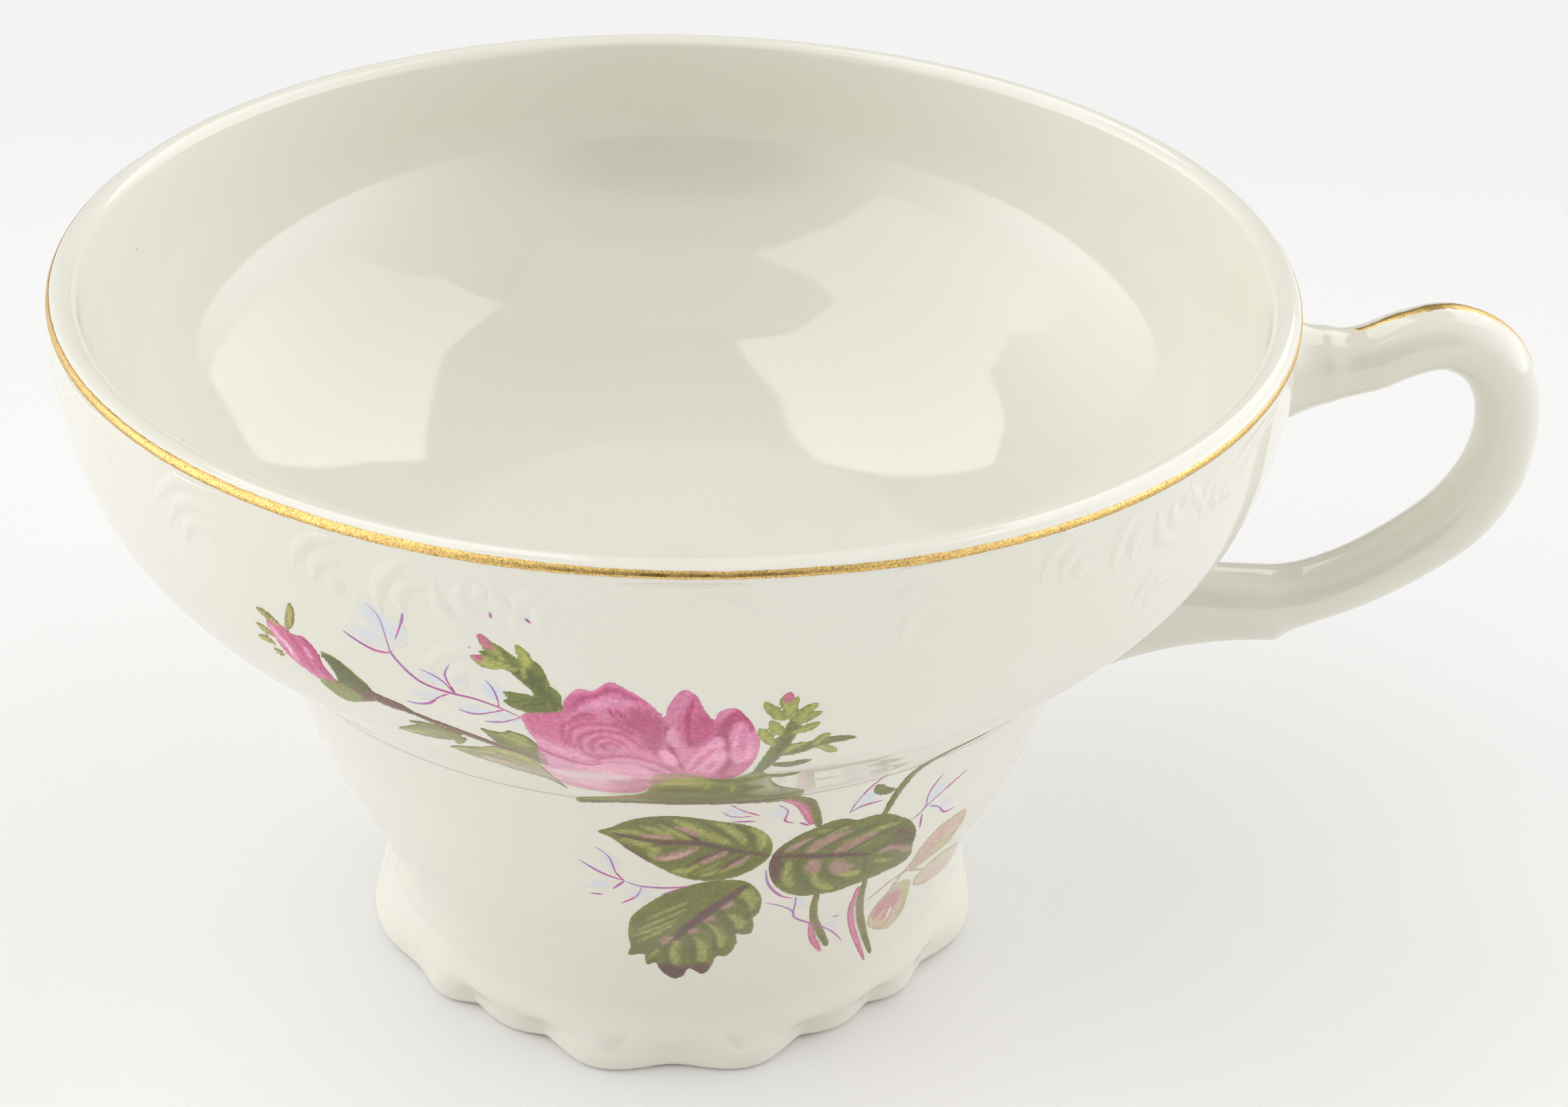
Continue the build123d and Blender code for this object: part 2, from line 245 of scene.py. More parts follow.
class Print:
    """A patch of fired colour on the cup's outside, made of areas and strokes and painted in layers."""

    GRAIN = 0.15

    def __init__(self, base, height, proud=0.035):
        self.proud = proud
        self.scale = np.array([math.radians(outside(height)[0]), 1.0])
        self.base = base
        self.areas, self.brushes, self.layers = [], [], []

    def area(self, *outlines):
        self.areas += [closed_path(np.array(o) * self.scale, 0.3) for o in outlines]
        return self

    def brush(self, half, *paths, ends=0.3):
        self.brushes += [(smooth_path(np.array(p) * self.scale, 0.3), half, ends) for p in paths]
        return self

    def fill(self, colour, *outlines, soft=0.2, strength=1.0):
        for outline in outlines:
            self.layers.append(
                ("fill", closed_path(np.array(outline) * self.scale, 0.3), colour, soft, strength, 0),
            )
        return self

    def line(self, colour, half, *paths, soft=0.45, strength=1.0, ends=0.3):
        for path in paths:
            curve = smooth_path(np.array(path) * self.scale, 0.3)
            self.layers.append((half, curve, colour, soft, strength, ends))
        return self

    def edge(self, colour, width, strength=1.0):
        self.layers.append(("edge", None, colour, width, strength, 0))
        return self

    def gap(self, points):
        gaps = [inside_gap(points, loop) for loop in self.areas]
        for path, half, ends in self.brushes:
            distance, t = to_segments(points, path)
            gaps.append(distance - half * taper(t, ends))
        return np.min(gaps, 0)

    def paint(self, points, gap):
        colour = np.tile(np.array(INKS[self.base], float), (len(points), 1))
        dots = 1.6 * np.random.default_rng(len(points)).uniform(-1, 1, len(points))
        for kind, path, ink, soft, strength, ends in self.layers:
            if kind == "fill":
                cover = 1 - ease(inside_gap(points, path), -soft, soft)
            elif kind == "edge":
                cover = ease(gap, -soft, 0.05)
            else:
                distance, t = to_segments(points, path)
                half = kind * taper(t, ends)
                bristles = 1 - 0.25 * soft * (1 + np.sin(distance * 26 + t * 7))
                cover = (1 - ease(distance / half, 1 - soft, 1 + soft)) * bristles
            cover = np.clip(cover + dots * cover * (1 - cover), 0, 1)[:, None] * strength
            colour = colour * (1 - cover) + np.array(INKS[ink]) * cover
        return (colour / 255) ** 2.2

    def make(self, name, material):
        shapes = self.areas + [path for path, half, ends in self.brushes]
        low = np.min([s.min(0) for s in shapes], 0) - 1
        high = np.max([s.max(0) for s in shapes], 0) + 1
        x = np.arange(low[0], high[0], self.GRAIN)
        y = np.arange(low[1], high[1], self.GRAIN)
        grid = np.stack(np.meshgrid(x, y, indexing="ij"), -1)
        gap = self.gap(grid.reshape(-1, 2)).reshape(grid.shape[:2])
        slope = np.stack(np.gradient(gap, self.GRAIN), -1)
        slope /= np.maximum(np.linalg.norm(slope, axis=-1, keepdims=True), 0.3)
        inside = gap < 0
        keep = inside[:-1, :-1] | inside[1:, :-1] | inside[:-1, 1:] | inside[1:, 1:]
        i, j = np.nonzero(keep)
        quads = np.stack([
            i * len(y) + j, (i + 1) * len(y) + j, (i + 1) * len(y) + j + 1, i * len(y) + j + 1,
        ], 1)
        used, faces = np.unique(quads, return_inverse=True)
        faces = faces.reshape(-1, 4)
        outer = np.clip(gap, 0, 1.5 * self.GRAIN)[..., None]
        spots = (grid - slope * outer).reshape(-1, 2)[used]
        gaps = gap.reshape(-1)[used]
        sheet = wall(spots[:, 0] / self.scale[0], spots[:, 1], np.where(gaps < 0, self.proud, -0.02))
        piece = new_object(name, sheet, faces.tolist(), material)
        ink = piece.data.color_attributes.new("ink", "FLOAT_COLOR", "POINT")
        rgba = np.hstack([self.paint(spots, gaps), np.ones((len(spots), 1))])
        ink.data.foreach_set("color", rgba.ravel())
        return piece


def ribbons(name, paths, material, width, height, shades=None, ends=0.25):
    """Low rounded bands along paths on the wall, tapered at both ends and sunk at their edges."""
    across = np.linspace(-1, 1, 7)
    verts, faces, colours = [], [], []
    for path in paths:
        scale = np.array([math.radians(outside(np.mean([p[1] for p in path]))[0]), 1.0])
        curve = smooth_path(np.array(path) * scale, min(0.25, width))
        along = np.gradient(curve, axis=0)
        along /= np.linalg.norm(along, axis=1)[:, None]
        t = np.linspace(0, 1, len(curve))
        body = np.sin(np.pi * t) if ends == 0 else taper(t, ends)
        half = width / 2 * np.maximum(body, 0.05)
        side = np.stack([-along[:, 1], along[:, 0]], 1)
        spots = curve[:, None] + (across[None, :] * half[:, None])[..., None] * side[:, None]
        proud = height * body[:, None] * (np.cos(np.pi * across) + 1) / 2 - 0.006
        base = sum(len(v) for v in verts)
        verts.append(wall(spots[..., 0] / scale[0], spots[..., 1], proud).reshape(-1, 3))
        for i in range(len(curve) - 1):
            for j in range(len(across) - 1):
                a = base + i * len(across) + j
                faces.append((a, a + 1, a + 1 + len(across), a + len(across)))
        if shades:
            mix = ease(t, 0.15, 0.75)[:, None]
            tint = np.array(INKS[shades[0]]) * (1 - mix) + np.array(INKS[shades[1]]) * mix
            colours.append(np.repeat((tint / 255) ** 2.2, len(across), axis=0))
    piece = new_object(name, np.vstack(verts), faces, material)
    if shades:
        ink = piece.data.color_attributes.new("ink", "FLOAT_COLOR", "POINT")
        rgb = np.vstack(colours)
        ink.data.foreach_set("color", np.hstack([rgb, np.ones((len(rgb), 1))]).ravel())
    return piece


# ---- materials ----
def node_material(name):
    mat = bpy.data.materials.new(name)
    mat.use_nodes = True
    nodes, links = mat.node_tree.nodes, mat.node_tree.links
    return mat, nodes, links, nodes["Principled BSDF"]


def noise(nodes, links, scale, detail=2.0, roughness=0.5):
    """Noise over the object's own space, in features per metre."""
    place = nodes.new("ShaderNodeTexCoord")
    node = nodes.new("ShaderNodeTexNoise")
    node.inputs["Scale"].default_value = scale
    node.inputs["Detail"].default_value = detail
    node.inputs["Roughness"].default_value = roughness
    links.new(place.outputs["Object"], node.inputs["Vector"])
    return node.outputs["Fac"]


def ramp(nodes, links, value, *stops):
    """Colours along 0 to 1, as (place, colour) stops."""
    node = nodes.new("ShaderNodeValToRGB")
    elements = node.color_ramp.elements
    while len(elements) < len(stops):
        elements.new(0.5)
    for element, (place, colour) in zip(elements, stops):
        element.position = place
        element.color = (*colour, 1)
    links.new(value, node.inputs[0])
    return node.outputs["Color"]


def multiplied(nodes, links, first, second):
    """The product of two colours."""
    node = nodes.new("ShaderNodeMix")
    node.data_type = "RGBA"
    node.blend_type = "MULTIPLY"
    node.inputs["Factor"].default_value = 1.0
    links.new(first, node.inputs["A"])
    links.new(second, node.inputs["B"])
    return node.outputs["Result"]


def porcelain():
    """Creamy white glaze, very faintly mottled, with a few dark specks fired in."""
    mat, nodes, links, shader = node_material("porcelain_glaze")
    shader.inputs["Roughness"].default_value = 0.06
    shader.inputs["IOR"].default_value = 1.68
    mottle = ramp(
        nodes, links, noise(nodes, links, 45), (0.3, (0.77, 0.742, 0.65)), (0.7, (0.755, 0.722, 0.62)),
    )
    specks = ramp(
        nodes, links, noise(nodes, links, 900, 1.0), (0.83, (1, 1, 1)), (0.86, (0.45, 0.38, 0.28)),
    )
    links.new(multiplied(nodes, links, mottle, specks), shader.inputs["Base Color"])
    return mat


def gold():
    """Old gilding: bright where thick, bronze and grainy where rubbed."""
    mat, nodes, links, shader = node_material("worn_gilding")
    shader.inputs["Metallic"].default_value = 1.0
    grain = noise(nodes, links, 7500, 2.0, 0.6)
    dark, middle, bright = (0.36, 0.22, 0.08), (0.66, 0.44, 0.15), (0.86, 0.6, 0.22)
    colour = ramp(nodes, links, grain, (0.3, dark), (0.47, middle), (0.62, bright))
    links.new(colour, shader.inputs["Base Color"])
    rough = ramp(
        nodes, links, noise(nodes, links, 700), (0.35, (0.3, 0.3, 0.3)), (0.65, (0.46, 0.46, 0.46)),
    )
    links.new(rough, shader.inputs["Roughness"])
    return mat


def ink_material():
    """Fired print colour: the painted layers, broken up by the fine dots of the transfer."""
    mat, nodes, links, shader = node_material("fired_ink")
    shader.inputs["Roughness"].default_value = 0.1
    shader.inputs["IOR"].default_value = 1.6
    painted = nodes.new("ShaderNodeAttribute")
    painted.attribute_name = "ink"
    dots = ramp(
        nodes, links, noise(nodes, links, 3000, 2.0, 0.7), (0.3, (0.8, 0.8, 0.8)),
        (0.7, (1.22, 1.22, 1.2)),
    )
    wear = ramp(
        nodes, links, noise(nodes, links, 500), (0.35, (0.92, 0.92, 0.92)), (0.65, (1.08, 1.08, 1.06)),
    )
    colour = multiplied(nodes, links, painted.outputs["Color"], dots)
    links.new(multiplied(nodes, links, colour, wear), shader.inputs["Base Color"])
    return mat


def wash_material():
    """The same glaze, tinted by the painted washes."""
    mat, nodes, links, shader = node_material("fired_wash")
    shader.inputs["Roughness"].default_value = 0.06
    shader.inputs["IOR"].default_value = 1.68
    painted = nodes.new("ShaderNodeAttribute")
    painted.attribute_name = "ink"
    mottle = ramp(
        nodes, links, noise(nodes, links, 45), (0.3, (1.01, 1.01, 1.02)), (0.7, (0.99, 0.99, 0.97)),
    )
    links.new(multiplied(nodes, links, painted.outputs["Color"], mottle), shader.inputs["Base Color"])
    return mat


# ---- porcelain pieces ----
def make_bowl(material):
    """The bowl: outside, lip, inside and underside, closed at the axis."""
    around = 720
    lip = arc((RIM_RADIUS - LIP / 2, LIP_HEIGHT), LIP / 2, 0, 180, 19)
    runs = np.concatenate([np.arange(0, 6, 0.3), np.linspace(6, OUTLINE_RUN[-1], 48)])
    profile = np.vstack([np.stack(outside(runs), 1)[:-1], lip[:-1], smooth_path(BOWL_INSIDE, 1.2)[:-1]])
    under = np.vstack([smooth_path(BOWL_UNDER[1:], 2.0), SEAM])
    rings = turned(profile, around)
    under_rings = turned(under, around)
    count = len(profile)
    verts = np.vstack([
        rings.reshape(-1, 3), [[0, 0, BOWL_INSIDE[-1][1]]], under_rings.reshape(-1, 3),
        [[0, 0, BOWL_UNDER[0][1]]],
    ])
    faces = ring_faces(count, around)
    pole = count * around
    last = (count - 1) * around
    faces += [(last + j, pole, last + (j + 1) % around) for j in range(around)]
    base = pole + 1
    centre = base + len(under) * around
    faces += [(base + j, centre, base + (j + 1) % around)[::-1] for j in range(around)]
    faces += [tuple(base + v for v in f) for f in ring_faces(len(under), around)]
    return new_object("bowl_glazed", verts, faces, material)


def foot_band(azimuth):
    """Radius of the scalloped foot, and how far up a petal each azimuth is: 0 in a notch, 1 on a crown."""
    widths, crowns, notches = (
        np.array(PETAL_WIDTHS * 2), np.array(PETAL_CROWNS * 2), np.array(PETAL_NOTCHES * 2),
    )
    edges = np.cumsum(np.append(0, widths))
    a = np.mod(azimuth + 90, 360)
    k = np.clip(np.searchsorted(edges, a, side="right") - 1, 0, len(widths) - 1)
    t = (a - edges[k]) / widths[k]
    valley = notches[k] + (np.roll(notches, -1)[k] - notches[k]) * t
    petal = (0.5 - 0.5 * np.cos(2 * np.pi * t)) ** 0.75
    return valley + (crowns[k] - valley) * petal, petal


def make_pedestal(material):
    """The hollow pedestal, whose foot stands out as a scalloped band with a rounded lower edge."""
    around = 960
    azimuth = np.linspace(0, 360, around, endpoint=False)
    band, petal = foot_band(azimuth)
    lift = NOTCH_LIFT * (1 - petal) ** 2
    rows = []
    for radius, height in smooth_path(PEDESTAL_INSIDE, 1.5):
        rows.append((np.full(around, radius), np.full(around, height)))
    ring_start, ring_end = FOOT_RING
    rows += [(np.full(around, ring_start), np.zeros(around)), (np.full(around, ring_end), 0.2 * lift)]
    for turn in np.radians(np.linspace(-90, 0, 6)):
        out, up = FOOT_EDGE * np.cos(turn), FOOT_EDGE * np.sin(turn)
        rows.append((band - FOOT_EDGE + out, lift + FOOT_EDGE + up))
    heights = np.concatenate([
        np.arange(1.8, 6.6, 0.2), np.arange(7.0, 30, 0.8), np.arange(30.4, SEAM[1], 0.3), [SEAM[1]],
    ])
    for height in heights:
        ledge = outside_radius(height) + FOOT_LEDGE * (1 - ease(height, *LEDGE_RUNS_OUT))
        rows.append((ledge + (band - ledge) * (1 - ease(height, *PETALS_RUN_OUT)), np.full(around, height)))
    rows.append(rows[0])
    a = np.radians(azimuth)
    verts = np.vstack([np.stack([r * np.sin(a), -r * np.cos(a), z], 1) for r, z in rows])
    return new_object("pedestal_glazed", verts, ring_faces(len(rows), around), material)


# Handle centreline (x, z) with its half thickness in the handle's plane and half width across it.
HANDLE_LOOP = [
    (52.4, 53.1, 3.25, 3.15), (54.0, 53.3, 2.85, 2.9), (56.0, 53.8, 2.75, 2.9), (58.8, 55.1, 2.7, 2.9),
    (62.0, 55.8, 2.72, 2.9), (65.4, 54.4, 2.72, 2.9), (67.6, 51.3, 2.6, 2.9), (68.4, 47.0, 2.58, 2.9),
    (67.8, 42.9, 2.75, 2.9), (65.7, 39.0, 2.85, 2.9), (62.3, 35.8, 2.75, 2.9), (58.0, 32.9, 2.65, 2.9),
    (54.2, 31.2, 2.68, 2.9), (52.3, 30.6, 2.95, 2.95), (50.6, 30.05, 3.6, 3.1),
]


# The handle's two footprints on the cup: middle height, extent above, extent below, half width.
UPPER_ROOT = (52.2, 7.0, 8.2, 5.6)
LOWER_ROOT = (30.0, 8.6, 15.0, 3.4)


def bezier(p0, p1, p2, p3, t):
    """The point at t, from 0 to 1, of a cubic with these control points."""
    return (1 - t) ** 3 * p0 + 3 * t * (1 - t) ** 2 * p1 + 3 * t * t * (1 - t) * p2 + t ** 3 * p3


def root_rings(section, along, footprint, reach, hug, count):
    """Rings from a tube's end onto the cup's wall, leaving along the tube and landing along the wall.

    `reach` is how far each point runs on in the tube's direction, and `hug` how much of the way out
    from the middle of the footprint it spends close to the wall.
    """
    middle = footprint.mean(0)
    radial = footprint * [1, 1, 0]
    radial /= np.linalg.norm(radial, axis=1)[:, None]
    step = (footprint - middle) * hug
    lean = (outside_radius(footprint[:, 2] + 0.2) - outside_radius(footprint[:, 2] - 0.2)) / 0.4
    flat = step * [0, 1, 1]
    flat[:, 0] = lean * flat[:, 2]
    rings = []
    for t in np.linspace(0, 1, count + 1)[1:]:
        rings.append(bezier(section, section + along * reach[:, None], footprint - flat, footprint, t))
    rings.append(footprint - radial * 0.8)
    return rings


def on_wall(y, z):
    """Points just inside the cup's outside, on the handle's side, at the given y and z."""
    sink = 0.05
    return np.stack([np.sqrt((outside_radius(z) - sink) ** 2 - y ** 2), y, z], 1)


def make_handle(material):
    """The loop with its upper root, and its lower root that runs down the pedestal as a tail."""
    around = 64
    path = smooth_path(HANDLE_LOOP, 0.45)
    centre = np.stack([path[:, 0], np.zeros(len(path)), path[:, 1]], 1)
    tangent = np.gradient(centre, axis=0)
    tangent /= np.linalg.norm(tangent, axis=1)[:, None]
    phi = np.linspace(0, 2 * np.pi, around, endpoint=False)
    normal = np.stack([-tangent[:, 2], np.zeros(len(path)), tangent[:, 0]], 1)
    rings = []
    for c, n, half, wide in zip(centre, normal, path[:, 2], path[:, 3]):
        rings.append(c + np.outer(half * np.cos(phi), n) + np.outer(wide * np.sin(phi), [0, 1, 0]))
    rise = np.cos(phi)
    middle, above, below, half_width = UPPER_ROOT
    upper = on_wall(half_width * np.sin(phi), middle + np.where(rise > 0, above, below) * rise)
    start = root_rings(rings[0], -tangent[0], upper, np.full(around, 1.2), 0.3, 14)
    middle, above, below, half_width = LOWER_ROOT
    low_z = middle - np.where(rise < 0, above, below) * rise
    lower = on_wall(half_width * np.sin(phi) * (0.5 + 0.5 * ease(low_z, 14, 28)), low_z)
    leaving = tangent[-1] * 0.3 + np.array([-0.7, 0, 0.12])
    end = root_rings(
        rings[-1], leaving / np.linalg.norm(leaving), lower, 7.0 + 4.5 * ease(rise, -1, 1), 0.4, 30,
    )
    rings = start[::-1] + rings + end
    verts = np.vstack(rings)
    faces = ring_faces(len(rings), around)
    faces.append(tuple(range(around)))
    last = (len(rings) - 1) * around
    faces.append(tuple(last + j for j in reversed(range(around))))
    return new_object("handle_glazed", verts, faces, material)


# Low crescents moulded under the rim: azimuth and height of the middle, length and rise (mm), lean
# (degrees), and how many lie nested inside each other.
SCROLLS = [
    (0.5, 27.6, 15.0, 3.4, 0, 2), (18.0, 28.0, 9.0, 2.0, 24, 3), (31.5, 28.4, 5.5, 1.2, 40, 3),
    (38.5, 27.6, 5.5, 1.2, 62, 2), (43.5, 27.4, 5.0, 1.3, 128, 3), (49.5, 27.6, 5.0, 1.2, 58, 3),
    (43.0, 22.4, 5.5, 1.3, 30, 2), (-12.5, 28.6, 4.0, 0.8, 140, 1),
]
SCROLL_REPEAT = 60
SCROLL_SPACING = 1.5
SCROLL_WIDTH, SCROLL_HEIGHT = 1.6, 0.14


def crescent(azimuth, run, length, rise, lean, inset):
    """A bowed path about a place on the wall, moved in from its neighbour's hollow side by `inset`."""
    t = np.linspace(-1, 1, 7)
    shorter = length - 1.6 * inset
    x, y = t * shorter / 2, rise * (1 - t * t) - inset
    lean = math.radians(lean)
    x, y = x * math.cos(lean) - y * math.sin(lean), x * math.sin(lean) + y * math.cos(lean)
    return np.stack([
        azimuth + np.degrees(x / outside(run)[0]), np.minimum(run + y, OUTLINE_RUN[-1] - 0.3),
    ], 1)


def make_relief(material):
    """The moulded crescents, repeated round the bowl except where the handle stands."""
    paths = []
    for turn in range(0, 360, SCROLL_REPEAT):
        for azimuth, run, length, rise, lean, count in SCROLLS:
            if abs((turn + azimuth) % 360 - 90) > 14:
                for k in range(count):
                    paths.append(crescent(turn + azimuth, run, length, rise, lean, k * SCROLL_SPACING))
    return ribbons("rim_scrolls", paths, material, SCROLL_WIDTH, SCROLL_HEIGHT, ends=0)


# How the hand-painted rim line wanders: its two edges as degrees round the lip's section, by azimuth.
GILT_TOP = [(-90, -60, -30, -5, 10, 20, 35, 60, 90, 180), (44, 50, 54, 48, 42, 34, 27, 25, 26, 41)]
GILT_BOTTOM = [(-90, -60, -30, -5, 10, 20, 35, 60, 90, 180), (8, 8, 14, 18, 12, 2, -4, -5, -4, 16)]


def make_rim_line(material):
    """The fired gold line on the outer shoulder of the lip, with slightly uneven edges."""
    around = 1440
    azimuth = np.linspace(0, 360, around, endpoint=False)
    rng = np.random.default_rng(7)
    wave = np.zeros((2, around))
    for count, size in ((5, 0.8), (13, 0.6), (34, 0.7), (80, 0.8), (190, 1.0)):
        phase = rng.uniform(0, 2 * np.pi, 2)
        wave += size * np.sin(np.radians(azimuth) * count + phase[:, None])
    around_rim = np.radians(azimuth)
    top = np.interp(azimuth, *GILT_TOP, period=360) + 0.6 * wave[0]
    bottom = np.interp(azimuth, *GILT_BOTTOM, period=360) + 0.5 * wave[1]
    rows = []
    for k, proud in ((0.0, -0.05), (0.08, 0.03), (0.35, 0.045), (0.65, 0.045), (0.92, 0.03), (1.0, -0.05)):
        turn = np.radians(bottom + (top - bottom) * k)
        radius = LIP / 2 + proud
        rows.append((RIM_RADIUS - LIP / 2 + radius * np.cos(turn), LIP_HEIGHT + radius * np.sin(turn)))
    verts = [np.stack([r * np.sin(around_rim), -r * np.cos(around_rim), z], 1) for r, z in rows]
    return new_object(
        "rim_gold", np.vstack(verts), ring_faces(len(rows), around, close_rings=True), material,
    )


HANDLE_LINE_HALF = 0.58


def make_handle_line(material):
    """The gold stroke along the handle's crest, lying on the tube."""
    crest = smooth_path([
        (54.4, 56.1), (55.2, 56.5), (57.8, 57.5), (60.5, 58.3), (61.8, 58.55), (63.3, 58.3), (64.7, 57.9),
        (66.3, 57.0), (68.0, 55.4), (69.4, 53.6),
    ], 0.25)
    tube = smooth_path(HANDLE_LOOP, 0.2)
    t = np.linspace(0, 1, len(crest))
    half = HANDLE_LINE_HALF * taper(t, 0.2) * (1 + 0.12 * np.sin(t * 41) + 0.08 * np.sin(t * 97))
    verts, faces, across = [], [], np.linspace(-1, 1, 7)
    for (x, z), width in zip(crest, half):
        near = tube[np.hypot(tube[:, 0] - x, tube[:, 1] - z).argmin()]
        out = np.array([x - near[0], z - near[1]])
        out /= np.hypot(*out)
        for k in across:
            lean = width * k / near[3]
            rise = (near[2] + 0.05 - 0.07 * k ** 4) * math.cos(lean)
            verts.append((near[0] + out[0] * rise, near[3] * math.sin(lean), near[1] + out[1] * rise))
    for i in range(len(crest) - 1):
        for j in range(len(across) - 1):
            a = i * len(across) + j
            faces.append((a, a + 1, a + 1 + len(across), a + len(across)))
    return new_object("handle_gold", verts, faces, material)


# ---- prints ----
def rose(ink):
    """The open rose: a left bloom and a right bloom of overlapping petals."""
    left = [
        (-12.3, 18.7), (-10.2, 19.4), (-9.0, 19.6), (-8.8, 20.6), (-7.5, 21.9), (-6.5, 21.8),
        (-5.1, 22.7), (-3.8, 22.1), (-2.1, 20.9), (-0.8, 19.0), (-0.2, 15.1), (0.4, 12.3), (-0.4, 9.5),
        (-2.4, 5.4), (-4.1, 3.2), (-6.7, 2.6), (-9.6, 2.9), (-11.7, 4.2), (-12.2, 9.0), (-11.9, 13.8),
        (-11.7, 15.4), (-12.2, 17.1),
    ]
    right = [
        (-0.9, 19.4), (-0.7, 20.6), (0.5, 22.2), (1.4, 21.8), (2.3, 20.1), (3.0, 19.2), (3.2, 20.0),
        (4.5, 20.4), (5.7, 19.2), (6.6, 17.3), (6.9, 15.9), (6.8, 13.7), (6.2, 11.2), (5.2, 9.0),
        (3.6, 9.0), (1.9, 9.6), (-0.6, 9.4), (-0.6, 14.2), (-0.8, 17.6),
    ]
    paint = Print("pink", 14).area(left, right)
    paint.fill("light", [
        (-11.9, 13.8), (-9.1, 12.2), (-7.1, 12.3), (-4.5, 13.4), (-2.6, 12.4), (-1.8, 9.5), (-2.3, 5.2),
        (-4.1, 2.6), (-6.7, 2.0), (-9.6, 2.0), (-12.0, 3.6), (-12.4, 9.0),
    ], soft=0.5)
    paint.line("pale", 1.3, [(-11.2, 9.6), (-9.0, 8.8), (-6.4, 9.2), (-4.6, 8.2)], soft=0.8)
    paint.line("pink", 0.9, [(-11.8, 5.2), (-8.6, 3.2), (-5.0, 3.4), (-3.0, 5.6)], soft=0.8)
    paint.fill("rose", [
        (-12.1, 18.8), (-10.3, 19.4), (-8.6, 19.6), (-8.9, 18.3), (-8.9, 16.8), (-8.4, 15.4), (-9.7, 15.5),
        (-11.0, 16.3), (-11.9, 17.2),
    ], strength=0.8)
    paint.fill("rose", [
        (-8.8, 19.8), (-8.2, 21.2), (-6.3, 21.7), (-5.5, 22.3), (-4.6, 22.2), (-3.2, 21.6), (-2.3, 20.7),
        (-4.8, 21.6), (-5.8, 21.4), (-6.9, 20.8), (-8.6, 19.3),
    ])
    paint.fill("crimson", [
        (-3.2, 20.5), (-2.3, 20.3), (-1.3, 19.4), (-0.8, 18.7), (-1.0, 17.6), (-1.3, 16.2), (-1.4, 14.2),
        (-2.3, 15.6), (-2.9, 17.2), (-3.9, 18.2), (-5.0, 18.8), (-4.0, 19.6),
    ], soft=0.6, strength=0.7)
    paint.fill("deep", [
        (-7.8, 14.4), (-6.1, 14.3), (-3.7, 14.6), (-1.6, 13.4), (0.0, 11.7), (-1.4, 11.3), (-3.6, 12.9),
        (-7.6, 13.0),
    ], soft=0.35, strength=0.75)
    paint.line("deep", 0.2, [
        (-8.1, 20.2), (-7.4, 21.0), (-6.3, 21.3), (-5.5, 21.9), (-4.6, 22.0), (-3.0, 21.2),
    ])
    paint.line("deep", 0.2, [(-8.3, 18.6), (-7.8, 19.2), (-7.0, 19.5), (-6.2, 19.4)])
    paint.line(
        "deep", 0.22,
        [(-9.0, 15.6), (-9.2, 16.8), (-9.0, 18.0), (-8.2, 18.7), (-6.2, 19.1)],
        [(-8.3, 15.0), (-8.7, 16.1), (-8.5, 17.5), (-7.7, 18.3), (-6.4, 18.6), (-4.9, 18.5), (-2.7, 17.0)],
        [(-7.7, 14.7), (-8.0, 15.9), (-7.6, 17.0), (-6.6, 17.6), (-5.3, 17.8), (-4.1, 17.4), (-2.5, 15.4)],
        [(-6.8, 14.6), (-7.0, 15.7), (-6.5, 16.7), (-5.6, 17.1), (-3.9, 16.0)],
        [(-5.9, 15.2), (-6.0, 16.0), (-5.3, 16.3), (-4.7, 15.8)], strength=0.85,
    )
    paint.line("crimson", 0.13, [(-5.3, 20.3), (-5.1, 19.8), (-4.7, 19.3)], [(-4.8, 20.2), (-4.2, 19.4)])
    paint.line("light", 0.35, [(-7.6, 20.0), (-6.4, 20.4), (-5.0, 20.9), (-3.6, 20.8)], strength=0.8)
    paint.line("light", 0.55, [(-11.6, 15.9), (-10.4, 14.7), (-8.6, 13.9), (-7.2, 13.2)], strength=0.9)
    paint.line("light", 0.4, [(-6.4, 13.2), (-4.5, 13.6), (-2.6, 13.0), (-0.6, 11.2)], strength=0.9)
    paint.line("crimson", 0.2, [
        (-11.8, 14.8), (-10.8, 13.7), (-9.0, 12.6), (-7.5, 12.1), (-6.5, 12.7),
    ], strength=0.8)
    paint.fill("pink", [
        (-0.8, 19.3), (-0.7, 20.5), (0.5, 22.0), (0.9, 21.8), (0.4, 20.9), (-0.1, 19.9), (-0.5, 18.8),
    ])
    paint.fill("rose", [
        (1.0, 20.9), (1.4, 21.7), (2.3, 20.2), (3.1, 18.9), (2.8, 17.7), (2.1, 16.8), (1.3, 16.1),
        (0.6, 16.8), (0.1, 18.5), (0.3, 20.0),
    ])
    paint.fill("deep", [
        (1.5, 19.4), (2.4, 19.7), (3.1, 18.7), (2.7, 17.3), (1.4, 15.9), (1.1, 17.6),
    ], soft=0.5)
    paint.line("crimson", 0.2, [(1.3, 21.4), (0.9, 19.8), (0.9, 18.2), (1.1, 16.0)])
    paint.line("crimson", 0.25, [(-0.9, 18.6), (-0.6, 17.0), (-0.2, 14.8), (0.6, 12.0)])
    paint.fill("crimson", [
        (3.9, 17.2), (4.4, 16.7), (4.6, 14.0), (5.0, 12.9), (4.5, 9.6), (3.7, 10.6), (4.2, 14.0),
    ], soft=0.35)
    paint.fill("light", [
        (-0.8, 16.9), (-0.6, 18.2), (-0.3, 18.3), (0.2, 17.0), (0.3, 16.1), (-0.2, 16.0),
    ], soft=0.15)
    paint.fill("light", [
        (-1.4, 15.4), (-1.0, 15.6), (-0.2, 14.7), (0.2, 13.2), (-0.4, 12.8), (-1.1, 13.9),
    ], soft=0.15)
